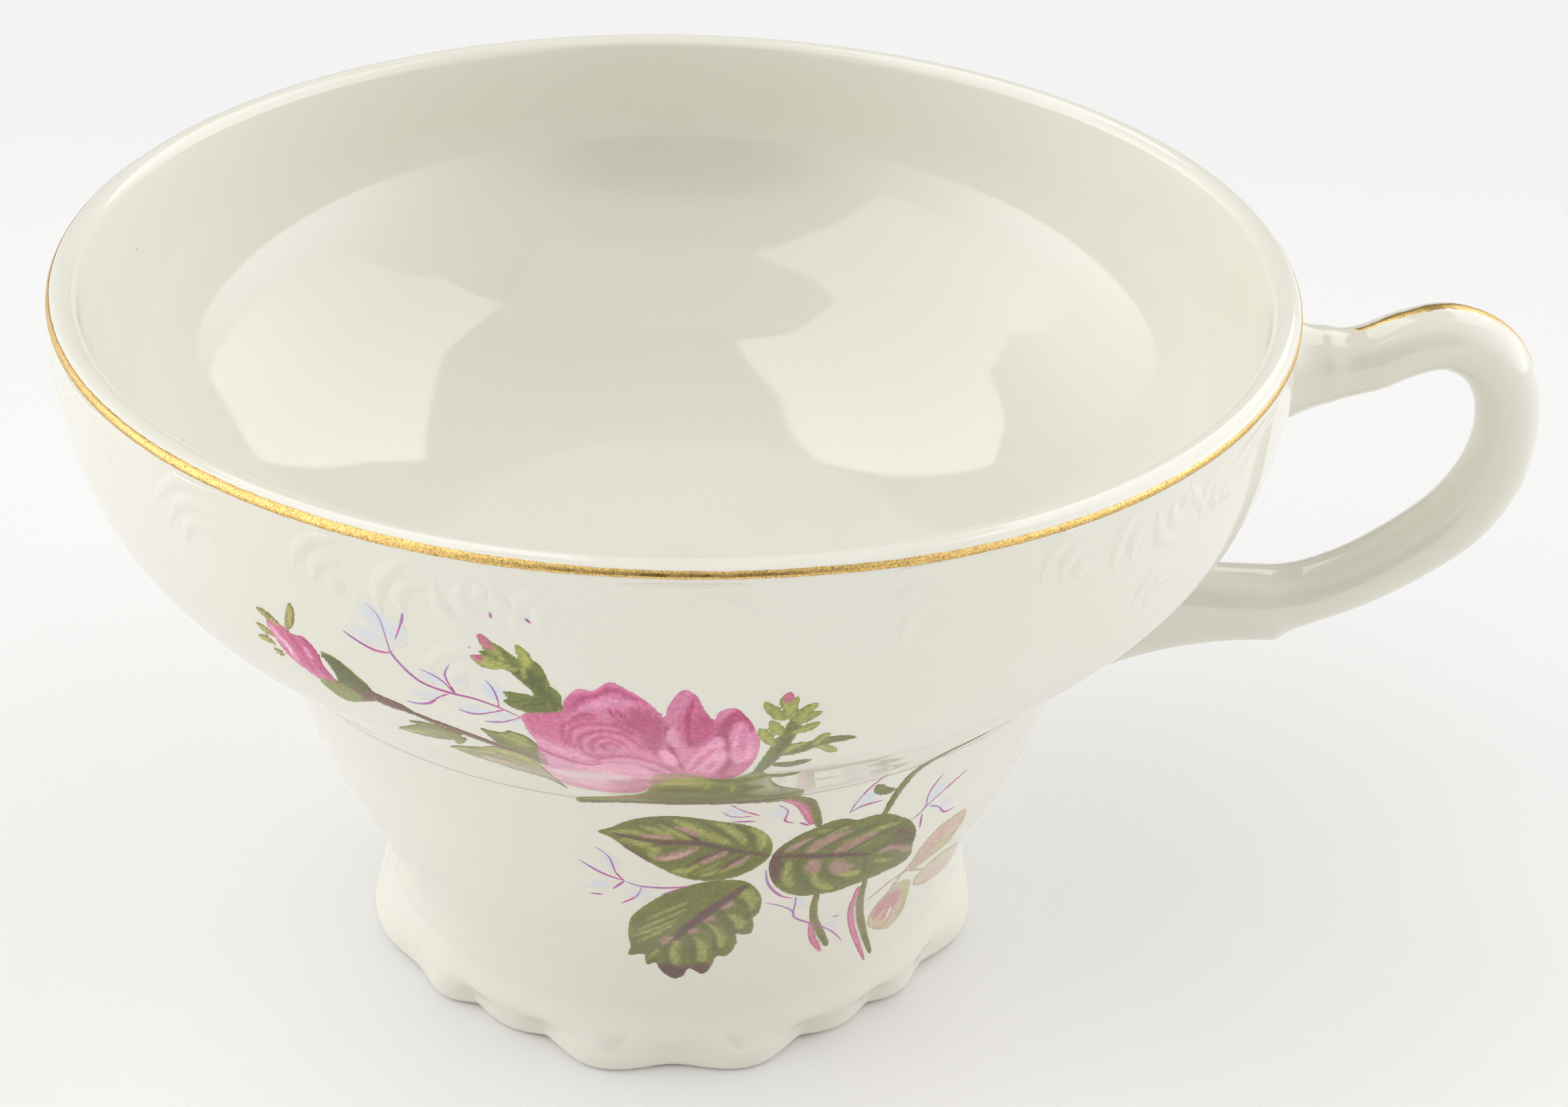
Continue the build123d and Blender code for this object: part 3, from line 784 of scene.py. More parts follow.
    paint.fill("crimson", [
        (3.3, 17.0), (3.3, 18.6), (3.9, 19.6), (4.6, 20.2), (5.5, 19.9), (6.1, 18.6), (6.0, 17.6),
        (5.3, 19.0), (4.7, 19.0), (4.3, 18.2), (3.9, 16.9),
    ], strength=0.85)
    paint.fill("light", [
        (4.5, 16.8), (4.8, 18.4), (5.2, 18.7), (5.7, 17.8), (6.3, 16.3), (6.3, 14.2), (5.6, 12.7),
        (4.9, 13.4),
    ], soft=0.35)
    paint.line("rose", 0.3, [(5.3, 18.4), (5.4, 16.2), (5.3, 13.8)], strength=0.6)
    paint.fill("light", [
        (0.9, 12.5), (1.5, 14.6), (2.6, 16.6), (3.5, 17.4), (3.9, 16.3), (2.9, 14.8), (1.6, 11.6),
    ])
    paint.fill("light", [
        (1.9, 11.8), (2.5, 14.1), (3.4, 15.3), (4.1, 15.1), (3.9, 13.0), (3.1, 11.2),
    ], soft=0.3)
    paint.line(
        "rose", 0.25, [(1.3, 11.6), (2.2, 14.2), (3.3, 15.9)], [(2.6, 11.6), (3.3, 13.6)], strength=0.8,
    )
    paint.fill("rose", [(5.0, 12.6), (6.4, 13.4), (6.6, 11.6), (5.4, 8.6), (4.2, 8.6)], soft=0.4)
    return paint.make("rose_bloom", ink)


def rose_foliage(ink):
    """Calyx under the bloom along the seam, with mossy sprays at both sides."""
    mass = [
        (-2.0, 10.5), (-0.4, 11.1), (1.2, 11.1), (2.8, 9.8), (5.0, 8.8), (6.2, 9.8), (7.3, 11.0),
        (8.6, 9.4), (9.7, 6.1), (11.5, 3.5), (14.7, 0.9), (14.4, -0.3), (12.0, -0.8), (7.6, -0.5),
        (0.0, -0.2), (-6.0, -0.2), (-11.5, -0.9), (-11.5, -0.2), (-6.5, 1.4), (-3.4, 3.2),
    ]
    sprays = [
        [(-9.0, 19.7), (-10.1, 21.0), (-11.4, 22.3), (-12.8, 23.4), (-15.2, 23.9)],
        [(-14.4, 24.9), (-13.5, 24.1), (-12.4, 23.2), (-10.8, 21.8)],
        [(-9.2, 20.0), (-10.9, 20.2), (-12.3, 20.3), (-13.4, 20.7)],
        [(-9.4, 19.6), (-11.9, 19.6), (-13.5, 19.9)],
        [(-10.3, 19.9), (-10.5, 21.7), (-10.8, 23.7)], [(-9.3, 20.2), (-10.2, 21.8)],
        [(7.2, 10.0), (8.0, 13.2), (8.7, 16.0), (9.3, 17.9), (9.5, 19.4)],
        [(8.5, 12.3), (10.0, 11.9), (11.7, 12.4)], [(8.4, 9.3), (9.9, 8.6), (11.4, 9.1)],
        [(8.8, 14.0), (10.3, 14.6), (11.5, 15.4), (13.3, 15.7), (14.9, 15.6)],
    ]
    leaflets = [
        [(-11.8, 22.3), (-11.5, 23.4), (-11.6, 24.2), (-12.2, 25.0)],
        [(-12.2, 22.9), (-14.1, 23.4), (-15.3, 23.7)], [(-13.1, 23.6), (-14.4, 24.7), (-15.1, 25.5)],
        [(-13.7, 22.8), (-14.9, 23.2), (-16.1, 24.3)], [(8.6, 18.8), (7.7, 19.7), (6.8, 20.8)],
        [(9.3, 18.7), (8.9, 19.9), (9.4, 21.1)], [(9.5, 18.7), (10.2, 19.7), (11.1, 20.3)],
        [(9.3, 17.3), (10.5, 17.7), (11.5, 18.3)], [(8.3, 17.1), (7.9, 18.1), (7.4, 18.9)],
        [(8.0, 15.7), (7.3, 16.9), (6.6, 18.1)], [(9.6, 18.3), (10.5, 19.0), (11.5, 19.4)],
        [(8.8, 14.3), (9.6, 15.2), (10.6, 15.8)], [(11.5, 15.3), (12.0, 16.2), (12.5, 16.8)],
        [(11.8, 15.0), (12.7, 14.5), (13.8, 13.4)], [(8.6, 20.0), (8.5, 20.8), (8.8, 21.6)],
    ]
    paint = Print("green", 10).area(mass).brush(0.6, *sprays).brush(0.42, *leaflets, ends=0.15)
    paint.line("olive", 0.42, *sprays, soft=0.8, strength=0.85)
    paint.line("lime", 0.3, *leaflets, soft=0.7, strength=0.9)
    paint.line(
        "rose", 0.3, [(-14.1, 24.4), (-15.2, 25.6)], [(-14.9, 23.3), (-16.2, 24.4)],
        [(8.5, 20.7), (8.8, 21.8)],
    )
    paint.line(
        "olive", 0.25, [(-10.6, 22.6), (-10.3, 20.6)], [(-11.4, 23.2), (-10.2, 21.0)],
        [(9.2, 17.0), (8.2, 12.5)],
    )
    paint.fill("lime", [
        (-2.2, 9.6), (0.4, 10.6), (2.6, 9.4), (3.2, 7.0), (0.4, 6.4), (-2.4, 6.4),
    ], soft=0.9)
    paint.fill("moss", [
        (-1.7, 5.0), (0.2, 6.3), (2.1, 5.6), (4.4, 6.4), (6.7, 7.0), (8.3, 9.0), (9.3, 6.4), (11.9, 2.6),
        (13.6, 0.6), (10.3, -0.4), (2.4, -0.1), (-4.0, 0.4),
    ], soft=0.8)
    paint.line(
        "olive", 0.6, [(3.2, 9.2), (5.4, 7.6), (8.2, 7.6)], [(-1.6, 4.6), (3.0, 3.6), (9.0, 3.4)],
        strength=0.8,
    )
    paint.line("plum", 0.4, [
        (-11.0, -0.5), (-4.0, 0.1), (4.0, 0.0), (10.0, -0.2), (14.0, -0.1),
    ], strength=0.7)
    paint.line(
        "lime", 0.25, [(3.4, 7.6), (3.0, 4.2)], [(5.6, 6.8), (6.0, 3.4)], [(8.8, 6.4), (10.4, 2.6)],
        strength=0.7,
    )
    paint.line("deep", 0.25, [(-8.0, 0.6), (-3.6, 1.8), (-1.0, 3.4)], strength=0.6)
    return paint.make("rose_foliage", ink)


def rosebud(ink):
    """Half-open bud with its calyx, and its long stem running in under the rose."""
    bud = [
        (-34.8, 21.5), (-33.7, 21.7), (-32.9, 21.5), (-32.1, 21.1), (-31.2, 21.3), (-30.5, 21.0),
        (-29.9, 20.0), (-29.7, 18.8), (-29.2, 18.0), (-29.2, 17.0), (-30.6, 16.8), (-31.5, 17.2),
        (-32.4, 17.7), (-33.2, 18.2), (-33.9, 19.0), (-34.4, 20.1),
    ]
    calyx = [
        (-29.6, 20.4), (-28.6, 20.4), (-27.5, 19.9), (-26.6, 19.2), (-25.7, 18.3), (-25.6, 16.6),
        (-27.2, 15.7), (-28.6, 15.0), (-29.8, 15.0), (-30.6, 15.8), (-31.1, 16.8), (-29.8, 17.2),
        (-28.9, 17.6), (-28.9, 18.6),
    ]
    stem = [
        (-27.4, 17.2), (-26.0, 17.2), (-24.5, 16.8), (-23.3, 16.6), (-22.2, 16.2), (-20.8, 15.7),
        (-19.1, 15.2), (-17.5, 14.6), (-15.8, 13.9), (-13.8, 13.2), (-11.9, 12.4),
    ]
    sepals = [
        [(-35.6, 22.3), (-34.5, 22.0), (-33.3, 21.5)], [(-31.6, 24.0), (-31.9, 22.8), (-32.6, 21.4)],
        [(-36.2, 20.7), (-35.2, 20.4), (-34.4, 20.1)], [(-36.5, 19.3), (-35.5, 19.4), (-34.6, 19.3)],
        [(-35.1, 18.5), (-34.0, 18.4)],
    ]
    blades = [
        [(-25.4, 12.2), (-23.1, 13.3), (-21.6, 13.4), (-19.7, 13.9)],
        [(-23.3, 14.6), (-21.5, 14.8), (-20.0, 14.9)],
        [(-20.9, 10.9), (-18.6, 11.8), (-16.6, 12.3), (-14.9, 11.6), (-13.0, 10.3)],
        [(-16.3, 16.1), (-15.1, 15.5), (-13.4, 14.6)], [(-13.9, 16.4), (-12.6, 15.6), (-11.8, 14.4)],
        [(-19.6, 12.2), (-18.9, 13.3), (-18.2, 13.9)], [(-18.3, 11.2), (-15.9, 10.8), (-13.0, 8.0)],
        [(-14.8, 9.6), (-13.0, 7.6), (-12.0, 4.6)],
    ]
    tufts = [
        [
            (-25.3, 12.3), (-23.2, 14.0), (-21.2, 15.2), (-19.7, 14.9), (-18.4, 14.6), (-19.7, 12.9),
            (-22.9, 12.2),
        ],
        [
            (-20.6, 11.2), (-18.5, 12.2), (-16.5, 12.8), (-14.3, 12.5), (-13.0, 10.5), (-15.3, 7.5),
            (-17.7, 8.6),
        ],
        [
            (-16.1, 16.1), (-14.8, 16.0), (-13.6, 16.4), (-12.3, 16.0), (-11.5, 14.4), (-11.6, 10.8),
            (-14.7, 13.3),
        ],
        [
            (-18.2, 11.4), (-16.3, 13.2), (-14.5, 13.2), (-12.6, 11.6), (-12.2, 6.0), (-11.8, 2.0),
            (-13.5, 5.4), (-15.5, 6.6), (-17.6, 9.0),
        ],
    ]
    paint = Print("umber", 16).area(bud, calyx, *tufts).brush(0.4, stem[3:]).brush(0.62, stem[:5])
    paint.fill("green", *tufts, soft=0.4, strength=0.8)
    paint.fill("dust", tufts[3], soft=0.5, strength=0.55)
    paint.line(
        "fawn", 0.5, [(-23.6, 13.0), (-20.0, 13.9)], [(-17.6, 10.2), (-14.4, 9.4)], soft=0.9,
        strength=0.7,
    )
    paint.line(
        "lime", 0.6, [(-18.0, 12.0), (-14.6, 12.4), (-12.6, 10.2)], [(-14.6, 16.0), (-12.4, 14.6)],
        soft=0.9,
    )
    paint.line(
        "olive", 0.45, [(-16.8, 8.4), (-14.0, 6.8), (-12.2, 3.4)], [(-15.4, 14.8), (-12.0, 12.0)],
        soft=0.9,
    )
    paint.brush(0.38, *sepals, *blades, ends=0.15)
    paint.fill("rose", bud)
    paint.line("light", 0.34, [(-34.5, 21.3), (-33.9, 20.4), (-33.1, 19.6), (-32.6, 18.4)])
    paint.line("pale", 0.16, [(-34.0, 20.6), (-33.2, 19.9), (-32.8, 19.0)])
    paint.line("deep", 0.26, [(-32.6, 21.0), (-31.9, 20.2), (-31.4, 19.0), (-31.0, 17.8)])
    paint.line("deep", 0.3, [(-31.2, 21.1), (-30.4, 20.4), (-30.2, 19.0), (-29.7, 17.6)])
    paint.line("light", 0.2, [(-31.2, 20.3), (-30.8, 19.3)])
    paint.line("pink", 0.4, [(-32.6, 18.2), (-31.2, 17.5), (-29.8, 17.2)], strength=0.7)
    paint.fill("green", [
        (-31.2, 16.9), (-28.9, 17.5), (-27.3, 17.2), (-27.2, 15.6), (-28.6, 14.9), (-30.2, 14.9),
    ], soft=0.3)
    paint.fill("olive", [
        (-29.6, 20.4), (-28.6, 20.4), (-27.5, 19.9), (-26.6, 19.2), (-25.9, 18.4), (-25.8, 16.9),
        (-27.2, 17.0), (-28.2, 17.4), (-28.8, 18.6),
    ], soft=0.25)
    paint.line("lime", 0.14, [(-29.4, 20.4), (-28.0, 20.3), (-26.6, 19.2), (-25.4, 18.1)], strength=0.8)
    paint.line("lime", 0.3, *sepals, soft=0.6)
    paint.line("green", 0.3, *blades, soft=0.6, strength=0.9)
    paint.line(
        "lime", 0.18, [(-25.0, 12.4), (-21.8, 13.3)], [(-20.4, 11.1), (-16.0, 12.1)],
        [(-13.6, 16.2), (-12.4, 15.4)],
    )
    paint.line("umber", 0.5, stem, soft=0.5)
    paint.line("plum", 0.3, stem[:6], soft=0.7, strength=0.8)
    paint.line("lime", 0.13, [(-22.5, 16.7), (-19.3, 15.8), (-15.9, 14.5), (-13.0, 13.3)], strength=0.6)
    return paint.make("rosebud_spray", ink)


def left_leaf(ink):
    """The upper leaf at the left, pointing away from the stalk."""
    paint = Print("moss", -7).area([
        (-9.8, -5.2), (-7.9, -4.4), (-5.6, -3.2), (-3.0, -2.5), (-0.2, -2.3), (2.8, -2.7), (5.4, -3.3),
        (7.7, -3.8), (9.8, -4.5), (11.6, -5.6), (12.6, -7.0), (12.6, -8.5), (11.4, -9.6), (9.3, -10.5),
        (7.2, -11.0), (4.7, -11.1), (2.3, -10.9), (0.1, -10.3), (-2.0, -9.4), (-4.0, -8.4), (-6.0, -7.3),
        (-8.0, -5.9),
    ])
    rib = [
        (12.4, -8.5), (9.3, -7.7), (6.2, -7.0), (3.9, -6.3), (1.0, -6.0), (-1.6, -6.0), (-4.5, -5.7),
        (-8.0, -5.1),
    ]
    paint.edge("green", 0.5, 0.5)
    paint.line(
        "lime", 0.5, [(0.0, -2.9), (1.5, -3.8), (4.1, -5.2), (7.4, -6.3)],
        [(4.9, -3.6), (7.2, -4.8), (8.9, -6.5)], [(9.4, -4.7), (11.0, -5.7), (11.2, -7.4)],
        [(-6.9, -5.9), (-4.5, -6.1), (-2.8, -6.8), (-3.0, -7.9)],
        [(-0.2, -9.8), (2.8, -9.5), (5.6, -8.5)], soft=0.8, strength=0.85,
    )
    paint.line(
        "lime", 0.3, [(-1.9, -3.4), (-0.1, -4.7), (2.1, -5.6)],
        [(-4.3, -3.9), (-2.2, -4.5), (-0.6, -5.3)], [(-8.3, -5.1), (-5.6, -4.8), (-3.5, -5.2)],
        [(3.5, -10.4), (6.8, -9.6), (9.3, -8.9)], soft=0.8, strength=0.8,
    )
    paint.line(
        "olive", 0.28, [(2.6, -3.0), (5.2, -4.4), (8.0, -6.6)], [(7.4, -4.0), (9.6, -5.6), (10.2, -7.6)],
        [(-2.4, -3.0), (0.8, -4.4), (3.2, -5.8)], [(7.6, -7.6), (4.6, -8.8), (1.6, -10.2)], strength=0.85,
    )
    paint.line(
        "mauve", 0.45, [(-2.7, -8.2), (0.3, -7.6), (2.7, -6.7)], [(3.4, -8.7), (5.3, -7.9), (6.6, -7.4)],
        soft=0.8,
    )
    paint.line("mauve", 0.26, [(-4.2, -5.2), (-0.3, -5.4)], [(-0.1, -3.9), (1.5, -4.5), (2.9, -5.2)],
               [(7.1, -9.4), (8.9, -8.7), (9.8, -8.2)])
    paint.line("dust", 0.2, [(-2.2, -8.3), (0.4, -7.8), (2.2, -7.1)])
    paint.line("plum", 0.26, [(-3.2, -8.7), (-5.3, -7.5), (-7.2, -6.3)], rib, strength=0.85)
    paint.line(
        "plum", 0.2, [(6.4, -7.1), (3.8, -8.0), (1.4, -9.2)], [(9.4, -7.8), (7.4, -8.8), (5.4, -10.2)],
        [(3.4, -6.2), (1.6, -5.0)], [(-1.2, -6.0), (-3.2, -6.6)], strength=0.7,
    )
    return paint.make("leaf_left", ink)


def right_leaf(ink):
    """The upper leaf at the right, with darker ends."""
    paint = Print("moss", -10).area([
        (12.6, -9.1), (13.4, -7.8), (14.9, -6.9), (16.6, -6.2), (18.4, -5.8), (20.2, -5.4), (22.2, -5.5),
        (24.1, -6.1), (26.0, -6.1), (28.6, -6.5), (31.4, -7.7), (33.3, -8.7), (35.1, -10.2),
        (35.9, -11.7), (36.0, -12.8), (36.6, -14.2), (35.9, -15.0), (33.1, -15.3), (29.9, -15.4),
        (26.8, -15.6), (23.9, -15.7), (20.8, -15.4), (18.2, -15.0), (15.7, -14.0), (13.8, -12.6),
        (12.7, -10.8),
    ])
    rib = [(12.7, -8.8), (15.3, -8.9), (19.0, -9.6), (23.2, -10.3), (27.9, -11.4)]
    paint.edge("green", 0.45, 0.4)
    paint.line(
        "mauve", 0.75, [(18.0, -8.8), (20.5, -7.9), (23.7, -7.6)],
        [(22.1, -9.6), (25.1, -9.2), (27.9, -8.8)], [(18.6, -10.2), (19.6, -11.8)],
        [(22.2, -10.9), (23.3, -12.1), (25.4, -12.4)], soft=0.8,
    )
    paint.line(
        "mauve", 0.35, [(14.4, -8.3), (16.3, -7.7), (18.4, -7.1)],
        [(29.4, -11.6), (32.2, -11.7), (35.6, -13.3)],
    )
    paint.line(
        "lime", 0.42, [(15.3, -9.7), (15.1, -11.2), (16.4, -13.2)],
        [(19.1, -11.9), (20.5, -13.7), (23.2, -15.0)], [(23.7, -13.2), (27.0, -13.7)], soft=0.8,
        strength=0.85,
    )
    paint.line(
        "lime", 0.24, [(18.6, -6.3), (20.9, -6.8), (23.2, -6.7)],
        [(26.0, -8.6), (28.5, -8.2), (31.5, -8.5)], [(29.0, -12.6), (32.5, -13.6)], soft=0.8,
        strength=0.8,
    )
    paint.fill("plum", [(31.7, -9.1), (34.6, -10.2), (35.6, -12.0), (31.7, -11.1)], soft=0.6, strength=0.7)
    paint.fill("plum", [
        (12.5, -9.0), (14.0, -8.0), (14.4, -9.4), (14.0, -12.4), (12.8, -11.4),
    ], soft=0.5, strength=0.8)
    paint.line("plum", 0.26, rib)
    paint.line(
        "olive", 0.25, [(15.6, -8.8), (18.1, -7.4), (21.1, -6.6), (23.3, -6.1)],
        [(18.9, -9.3), (21.5, -8.3), (25.1, -7.7), (28.9, -7.4)],
        [(23.5, -10.2), (26.4, -9.5), (29.1, -9.0), (32.7, -9.1)],
        [(27.6, -11.3), (30.5, -10.7), (35.0, -10.9)],
        [(16.8, -9.3), (17.0, -10.9), (18.4, -12.9), (21.1, -14.8)],
        [(20.6, -10.0), (20.8, -11.5), (22.2, -13.0), (25.0, -14.0)],
        [(27.4, -11.7), (27.7, -13.1), (29.0, -14.6)], strength=0.9,
    )
    return paint.make("leaf_right", ink)


def lower_leaf(ink):
    """The toothed leaf below."""
    paint = Print("moss", -18).area([
        (7.2, -11.1), (9.5, -11.5), (11.0, -12.4), (12.2, -13.9), (12.6, -15.4), (12.3, -16.8),
        (11.8, -17.2), (12.2, -18.9), (12.0, -20.2), (10.7, -20.3), (9.7, -19.9), (10.1, -21.6),
        (9.5, -23.2), (8.4, -23.9), (7.2, -23.7), (6.5, -25.1), (5.6, -26.2), (4.7, -26.4), (3.5, -25.9),
        (2.5, -25.5), (1.6, -26.6), (0.2, -27.0), (-1.4, -26.5), (-2.7, -25.4), (-3.2, -24.6),
        (-4.5, -25.0), (-5.0, -24.0), (-5.0, -23.2), (-7.6, -23.6), (-7.1, -22.0), (-7.3, -20.7),
        (-7.0, -18.5), (-6.4, -16.7), (-4.8, -15.1), (-2.7, -13.6), (-0.5, -12.5), (1.7, -11.7),
        (4.1, -11.2),
    ])
    paint.edge("green", 0.5, 0.4)
    paint.line(
        "lime", 0.55, [(9.5, -12.6), (10.7, -14.4), (10.6, -16.2)],
        [(7.6, -16.3), (9.3, -17.6), (10.1, -18.8)], [(5.0, -17.8), (6.7, -19.9), (7.6, -22.1)],
        [(2.9, -20.1), (4.6, -22.3), (4.8, -24.4)], [(0.3, -20.7), (-0.3, -22.8), (0.5, -24.7)], soft=0.8,
        strength=0.85,
    )
    paint.line(
        "lime", 0.2, [(-5.5, -18.8), (-1.8, -16.8), (1.5, -15.1)],
        [(-5.7, -21.0), (-2.9, -19.3), (0.1, -17.3)], [(-4.0, -16.8), (-0.9, -15.2), (1.8, -14.0)],
        [(-6.2, -19.9), (-2.6, -18.2), (0.4, -16.6)], [(-4.3, -23.9), (-2.5, -22.2)], soft=0.8,
        strength=0.75,
    )
    paint.line(
        "mauve", 0.6, [(6.7, -15.2), (7.8, -14.2)], [(4.1, -17.3), (5.4, -16.3)],
        [(2.0, -19.2), (3.4, -18.4)], [(-1.7, -21.2), (-0.4, -19.9)], soft=0.8,
    )
    paint.fill("plum", [
        (-3.0, -25.2), (-1.4, -26.9), (0.4, -27.2), (1.8, -26.4), (3.5, -26.2), (4.9, -26.6),
        (6.2, -25.8), (5.0, -24.6), (3.4, -24.8), (0.6, -25.2), (-1.6, -24.6),
    ], soft=0.5, strength=0.85)
    paint.line(
        "olive", 0.3, [(8.1, -13.3), (10.1, -15.2), (10.9, -17.6)],
        [(5.7, -15.0), (8.0, -17.3), (9.3, -20.2)], [(3.6, -17.0), (5.7, -19.4), (6.7, -22.6)],
        [(1.5, -18.6), (2.9, -21.2), (3.1, -24.7)], [(-0.3, -20.4), (-1.4, -22.6), (-1.2, -25.0)],
        strength=0.85,
    )
    paint.line("plum", 0.45, [
        (9.8, -12.0), (8.1, -13.3), (5.7, -14.9), (3.3, -16.9), (1.3, -18.6), (0.1, -20.5),
    ])
    return paint.make("leaf_lower", ink)


def stalks(ink):
    """Cut ends of the leaf stalks, the stem bending down from the seam, and the one climbing right."""
    greens = [
        [(21.0, -15.1), (21.3, -17.4), (22.5, -20.0), (25.0, -22.9), (27.6, -25.6)],
        [(29.0, -15.4), (30.0, -18.5), (32.8, -22.7), (36.2, -26.5), (39.5, -29.8)],
        [(13.6, -0.3), (16.0, -1.6), (17.3, -3.4), (18.5, -5.6)],
        [(28.2, -6.6), (28.7, -5.0), (29.4, -3.0), (30.4, -1.0), (33.0, 0.6), (38.0, 2.0)],
    ]
    pinks = [
        [(22.1, -20.6), (23.9, -23.7), (26.6, -26.3)],
        [(28.3, -16.3), (28.9, -19.4), (31.6, -23.7), (38.3, -30.5)],
        [(12.3, -0.6), (14.6, -1.7), (16.1, -3.3), (17.3, -5.3)],
    ]
    paint = Print("moss", -10).brush(0.42, *greens, ends=0.6).brush(0.36, *pinks, ends=0.3)
    paint.brush(0.55, [(25.0, -1.6), (26.2, -2.8), (28.1, -3.4)])
    paint.line("rose", 0.4, *pinks, soft=0.5)
    paint.line("pink", 0.2, *pinks, soft=0.5)
    paint.line("green", 0.3, *greens, soft=0.5)
    paint.line("umber", 0.2, *greens, soft=0.6, strength=0.7)
    return paint.make("stalk_ends", ink)


def small_buds(ink):
    """Three pale buds turning away at the right, with their thin stems."""
    buds = [
        [
            (39.1, -17.6), (37.9, -15.5), (38.7, -13.4), (41.2, -11.9), (46.1, -11.8), (47.6, -14.1),
            (46.2, -16.3), (42.6, -17.2),
        ],
        [
            (43.7, -21.6), (43.3, -19.2), (46.4, -18.0), (53.6, -19.7), (61.6, -25.6), (53.3, -24.6),
            (48.3, -23.7),
        ],
        [
            (35.6, -24.8), (35.3, -22.4), (36.4, -20.2), (37.5, -18.8), (41.1, -19.9), (44.7, -23.8),
            (45.7, -26.7), (43.3, -27.8), (39.7, -27.0), (37.0, -25.9),
        ],
    ]
    stems = [
        [(32.2, -19.7), (34.9, -17.8), (38.1, -17.2), (42.9, -17.0), (47.4, -16.4)],
        [(36.6, -19.6), (37.0, -17.6), (38.4, -15.6)], [(38.1, -17.2), (42.0, -18.6), (46.0, -20.0)],
    ]
    paint = Print("fawn", -20).area(*buds).brush(0.16, *stems, ends=0.5)
    paint.line(
        "dust", 0.8, [(39.6, -16.4), (41.4, -13.6), (45.2, -13.0)],
        [(45.0, -20.6), (50.0, -21.6), (57.0, -24.4)],
    )
    paint.line("deep", 0.9, [
        (37.2, -24.4), (37.6, -21.4), (39.6, -22.0), (40.6, -25.6),
    ], soft=0.7, strength=0.55)
    paint.line(
        "lime", 0.35, [(39.0, -19.4), (44.2, -23.8), (44.9, -27.0)],
        [(40.8, -17.0), (45.8, -16.0), (47.0, -14.4)],
    )
    paint.line("pale", 0.2, [(40.7, -26.0), (40.8, -24.7), (40.3, -23.9)])
    paint.edge("fawn", 0.4, 0.6)
    return paint.make("buds_right", ink)


SPRIG_WIDTH, SPRIG_HEIGHT = 0.26, 0.06
SPRIG_INKS = ("violet", "magenta")
UPPER_SPRIG = [
    [
        (-24.7, 26.2), (-24.1, 25.9), (-23.3, 25.2), (-22.8, 23.3), (-22.6, 22.3), (-22.0, 21.5),
        (-21.3, 20.8), (-20.4, 20.2), (-19.3, 19.9), (-17.7, 19.7), (-16.1, 19.6), (-14.1, 19.1),
        (-12.3, 18.3),
    ],
    [(-26.8, 23.2), (-26.0, 22.8), (-24.1, 22.2), (-22.6, 22.3)],
    [(-21.1, 26.4), (-21.3, 25.4), (-22.1, 23.5)],
    [(-20.5, 21.5), (-19.3, 21.2), (-18.4, 20.7), (-17.7, 19.8)],
    [(-17.6, 22.6), (-18.2, 21.5), (-17.6, 19.7)],
    [(-22.4, 17.7), (-21.4, 17.7), (-20.2, 18.1), (-19.2, 19.0), (-18.2, 19.6)],
    [(-15.0, 21.8), (-14.4, 21.0), (-14.1, 20.0), (-14.1, 19.1)],
    [(-17.7, 18.1), (-16.5, 17.9), (-13.7, 18.9)], [(-15.7, 17.2), (-14.4, 17.4), (-12.3, 18.4)],
    [(-14.1, 27.3), (-14.0, 26.8)], [(-11.5, 27.2), (-10.8, 26.8)],
]
LOWER_SPRIG = [
    [(6.3, -0.6), (8.1, -1.9), (10.4, -3.0)], [(5.4, -1.6), (6.6, -2.6), (9.3, -2.9)],
    [(6.7, -3.5), (10.0, -3.7)], [(12.3, -1.5), (13.7, -2.7), (13.7, -4.2), (15.0, -4.7)],
    [(15.6, -4.7), (17.1, -5.4)], [(22.5, -5.0), (22.9, -3.8), (23.9, -1.9), (25.4, 0.4)],
    [(22.5, -4.9), (24.0, -4.4), (27.2, -4.4)], [(33.5, -8.9), (35.4, -7.9), (35.1, -6.1), (36.4, -3.8)],
    [(34.3, -8.7), (36.4, -7.3), (41.6, -5.3)],
    [(36.2, -7.9), (38.3, -8.7), (40.5, -10.1), (42.5, -10.2)], [(35.3, -8.5), (36.0, -10.6)],
    [(-10.3, -7.2), (-8.7, -8.3), (-7.8, -10.4), (-6.8, -11.3)],
    [(-12.8, -9.2), (-9.6, -10.6), (-6.8, -11.3)], [(-8.6, -12.6), (-6.8, -11.3)],
    [(-6.8, -11.3), (-5.1, -11.8), (-1.4, -12.0), (3.2, -11.7)],
    [(-4.5, -12.0), (-5.4, -13.4), (-7.6, -14.6)], [(-12.0, -13.6), (-10.0, -13.5)],
    [(-2.0, -13.0), (0.8, -12.1)],
    [
        (12.9, -15.1), (15.3, -15.9), (17.9, -17.4), (18.5, -18.5), (22.1, -20.6), (26.9, -23.1),
        (30.9, -25.9),
    ],
    [(17.7, -15.0), (18.0, -17.4)], [(25.9, -20.6), (27.4, -20.7)],
    [(12.2, -10.3), (12.9, -12.3), (15.2, -14.4), (17.3, -15.2)],
]
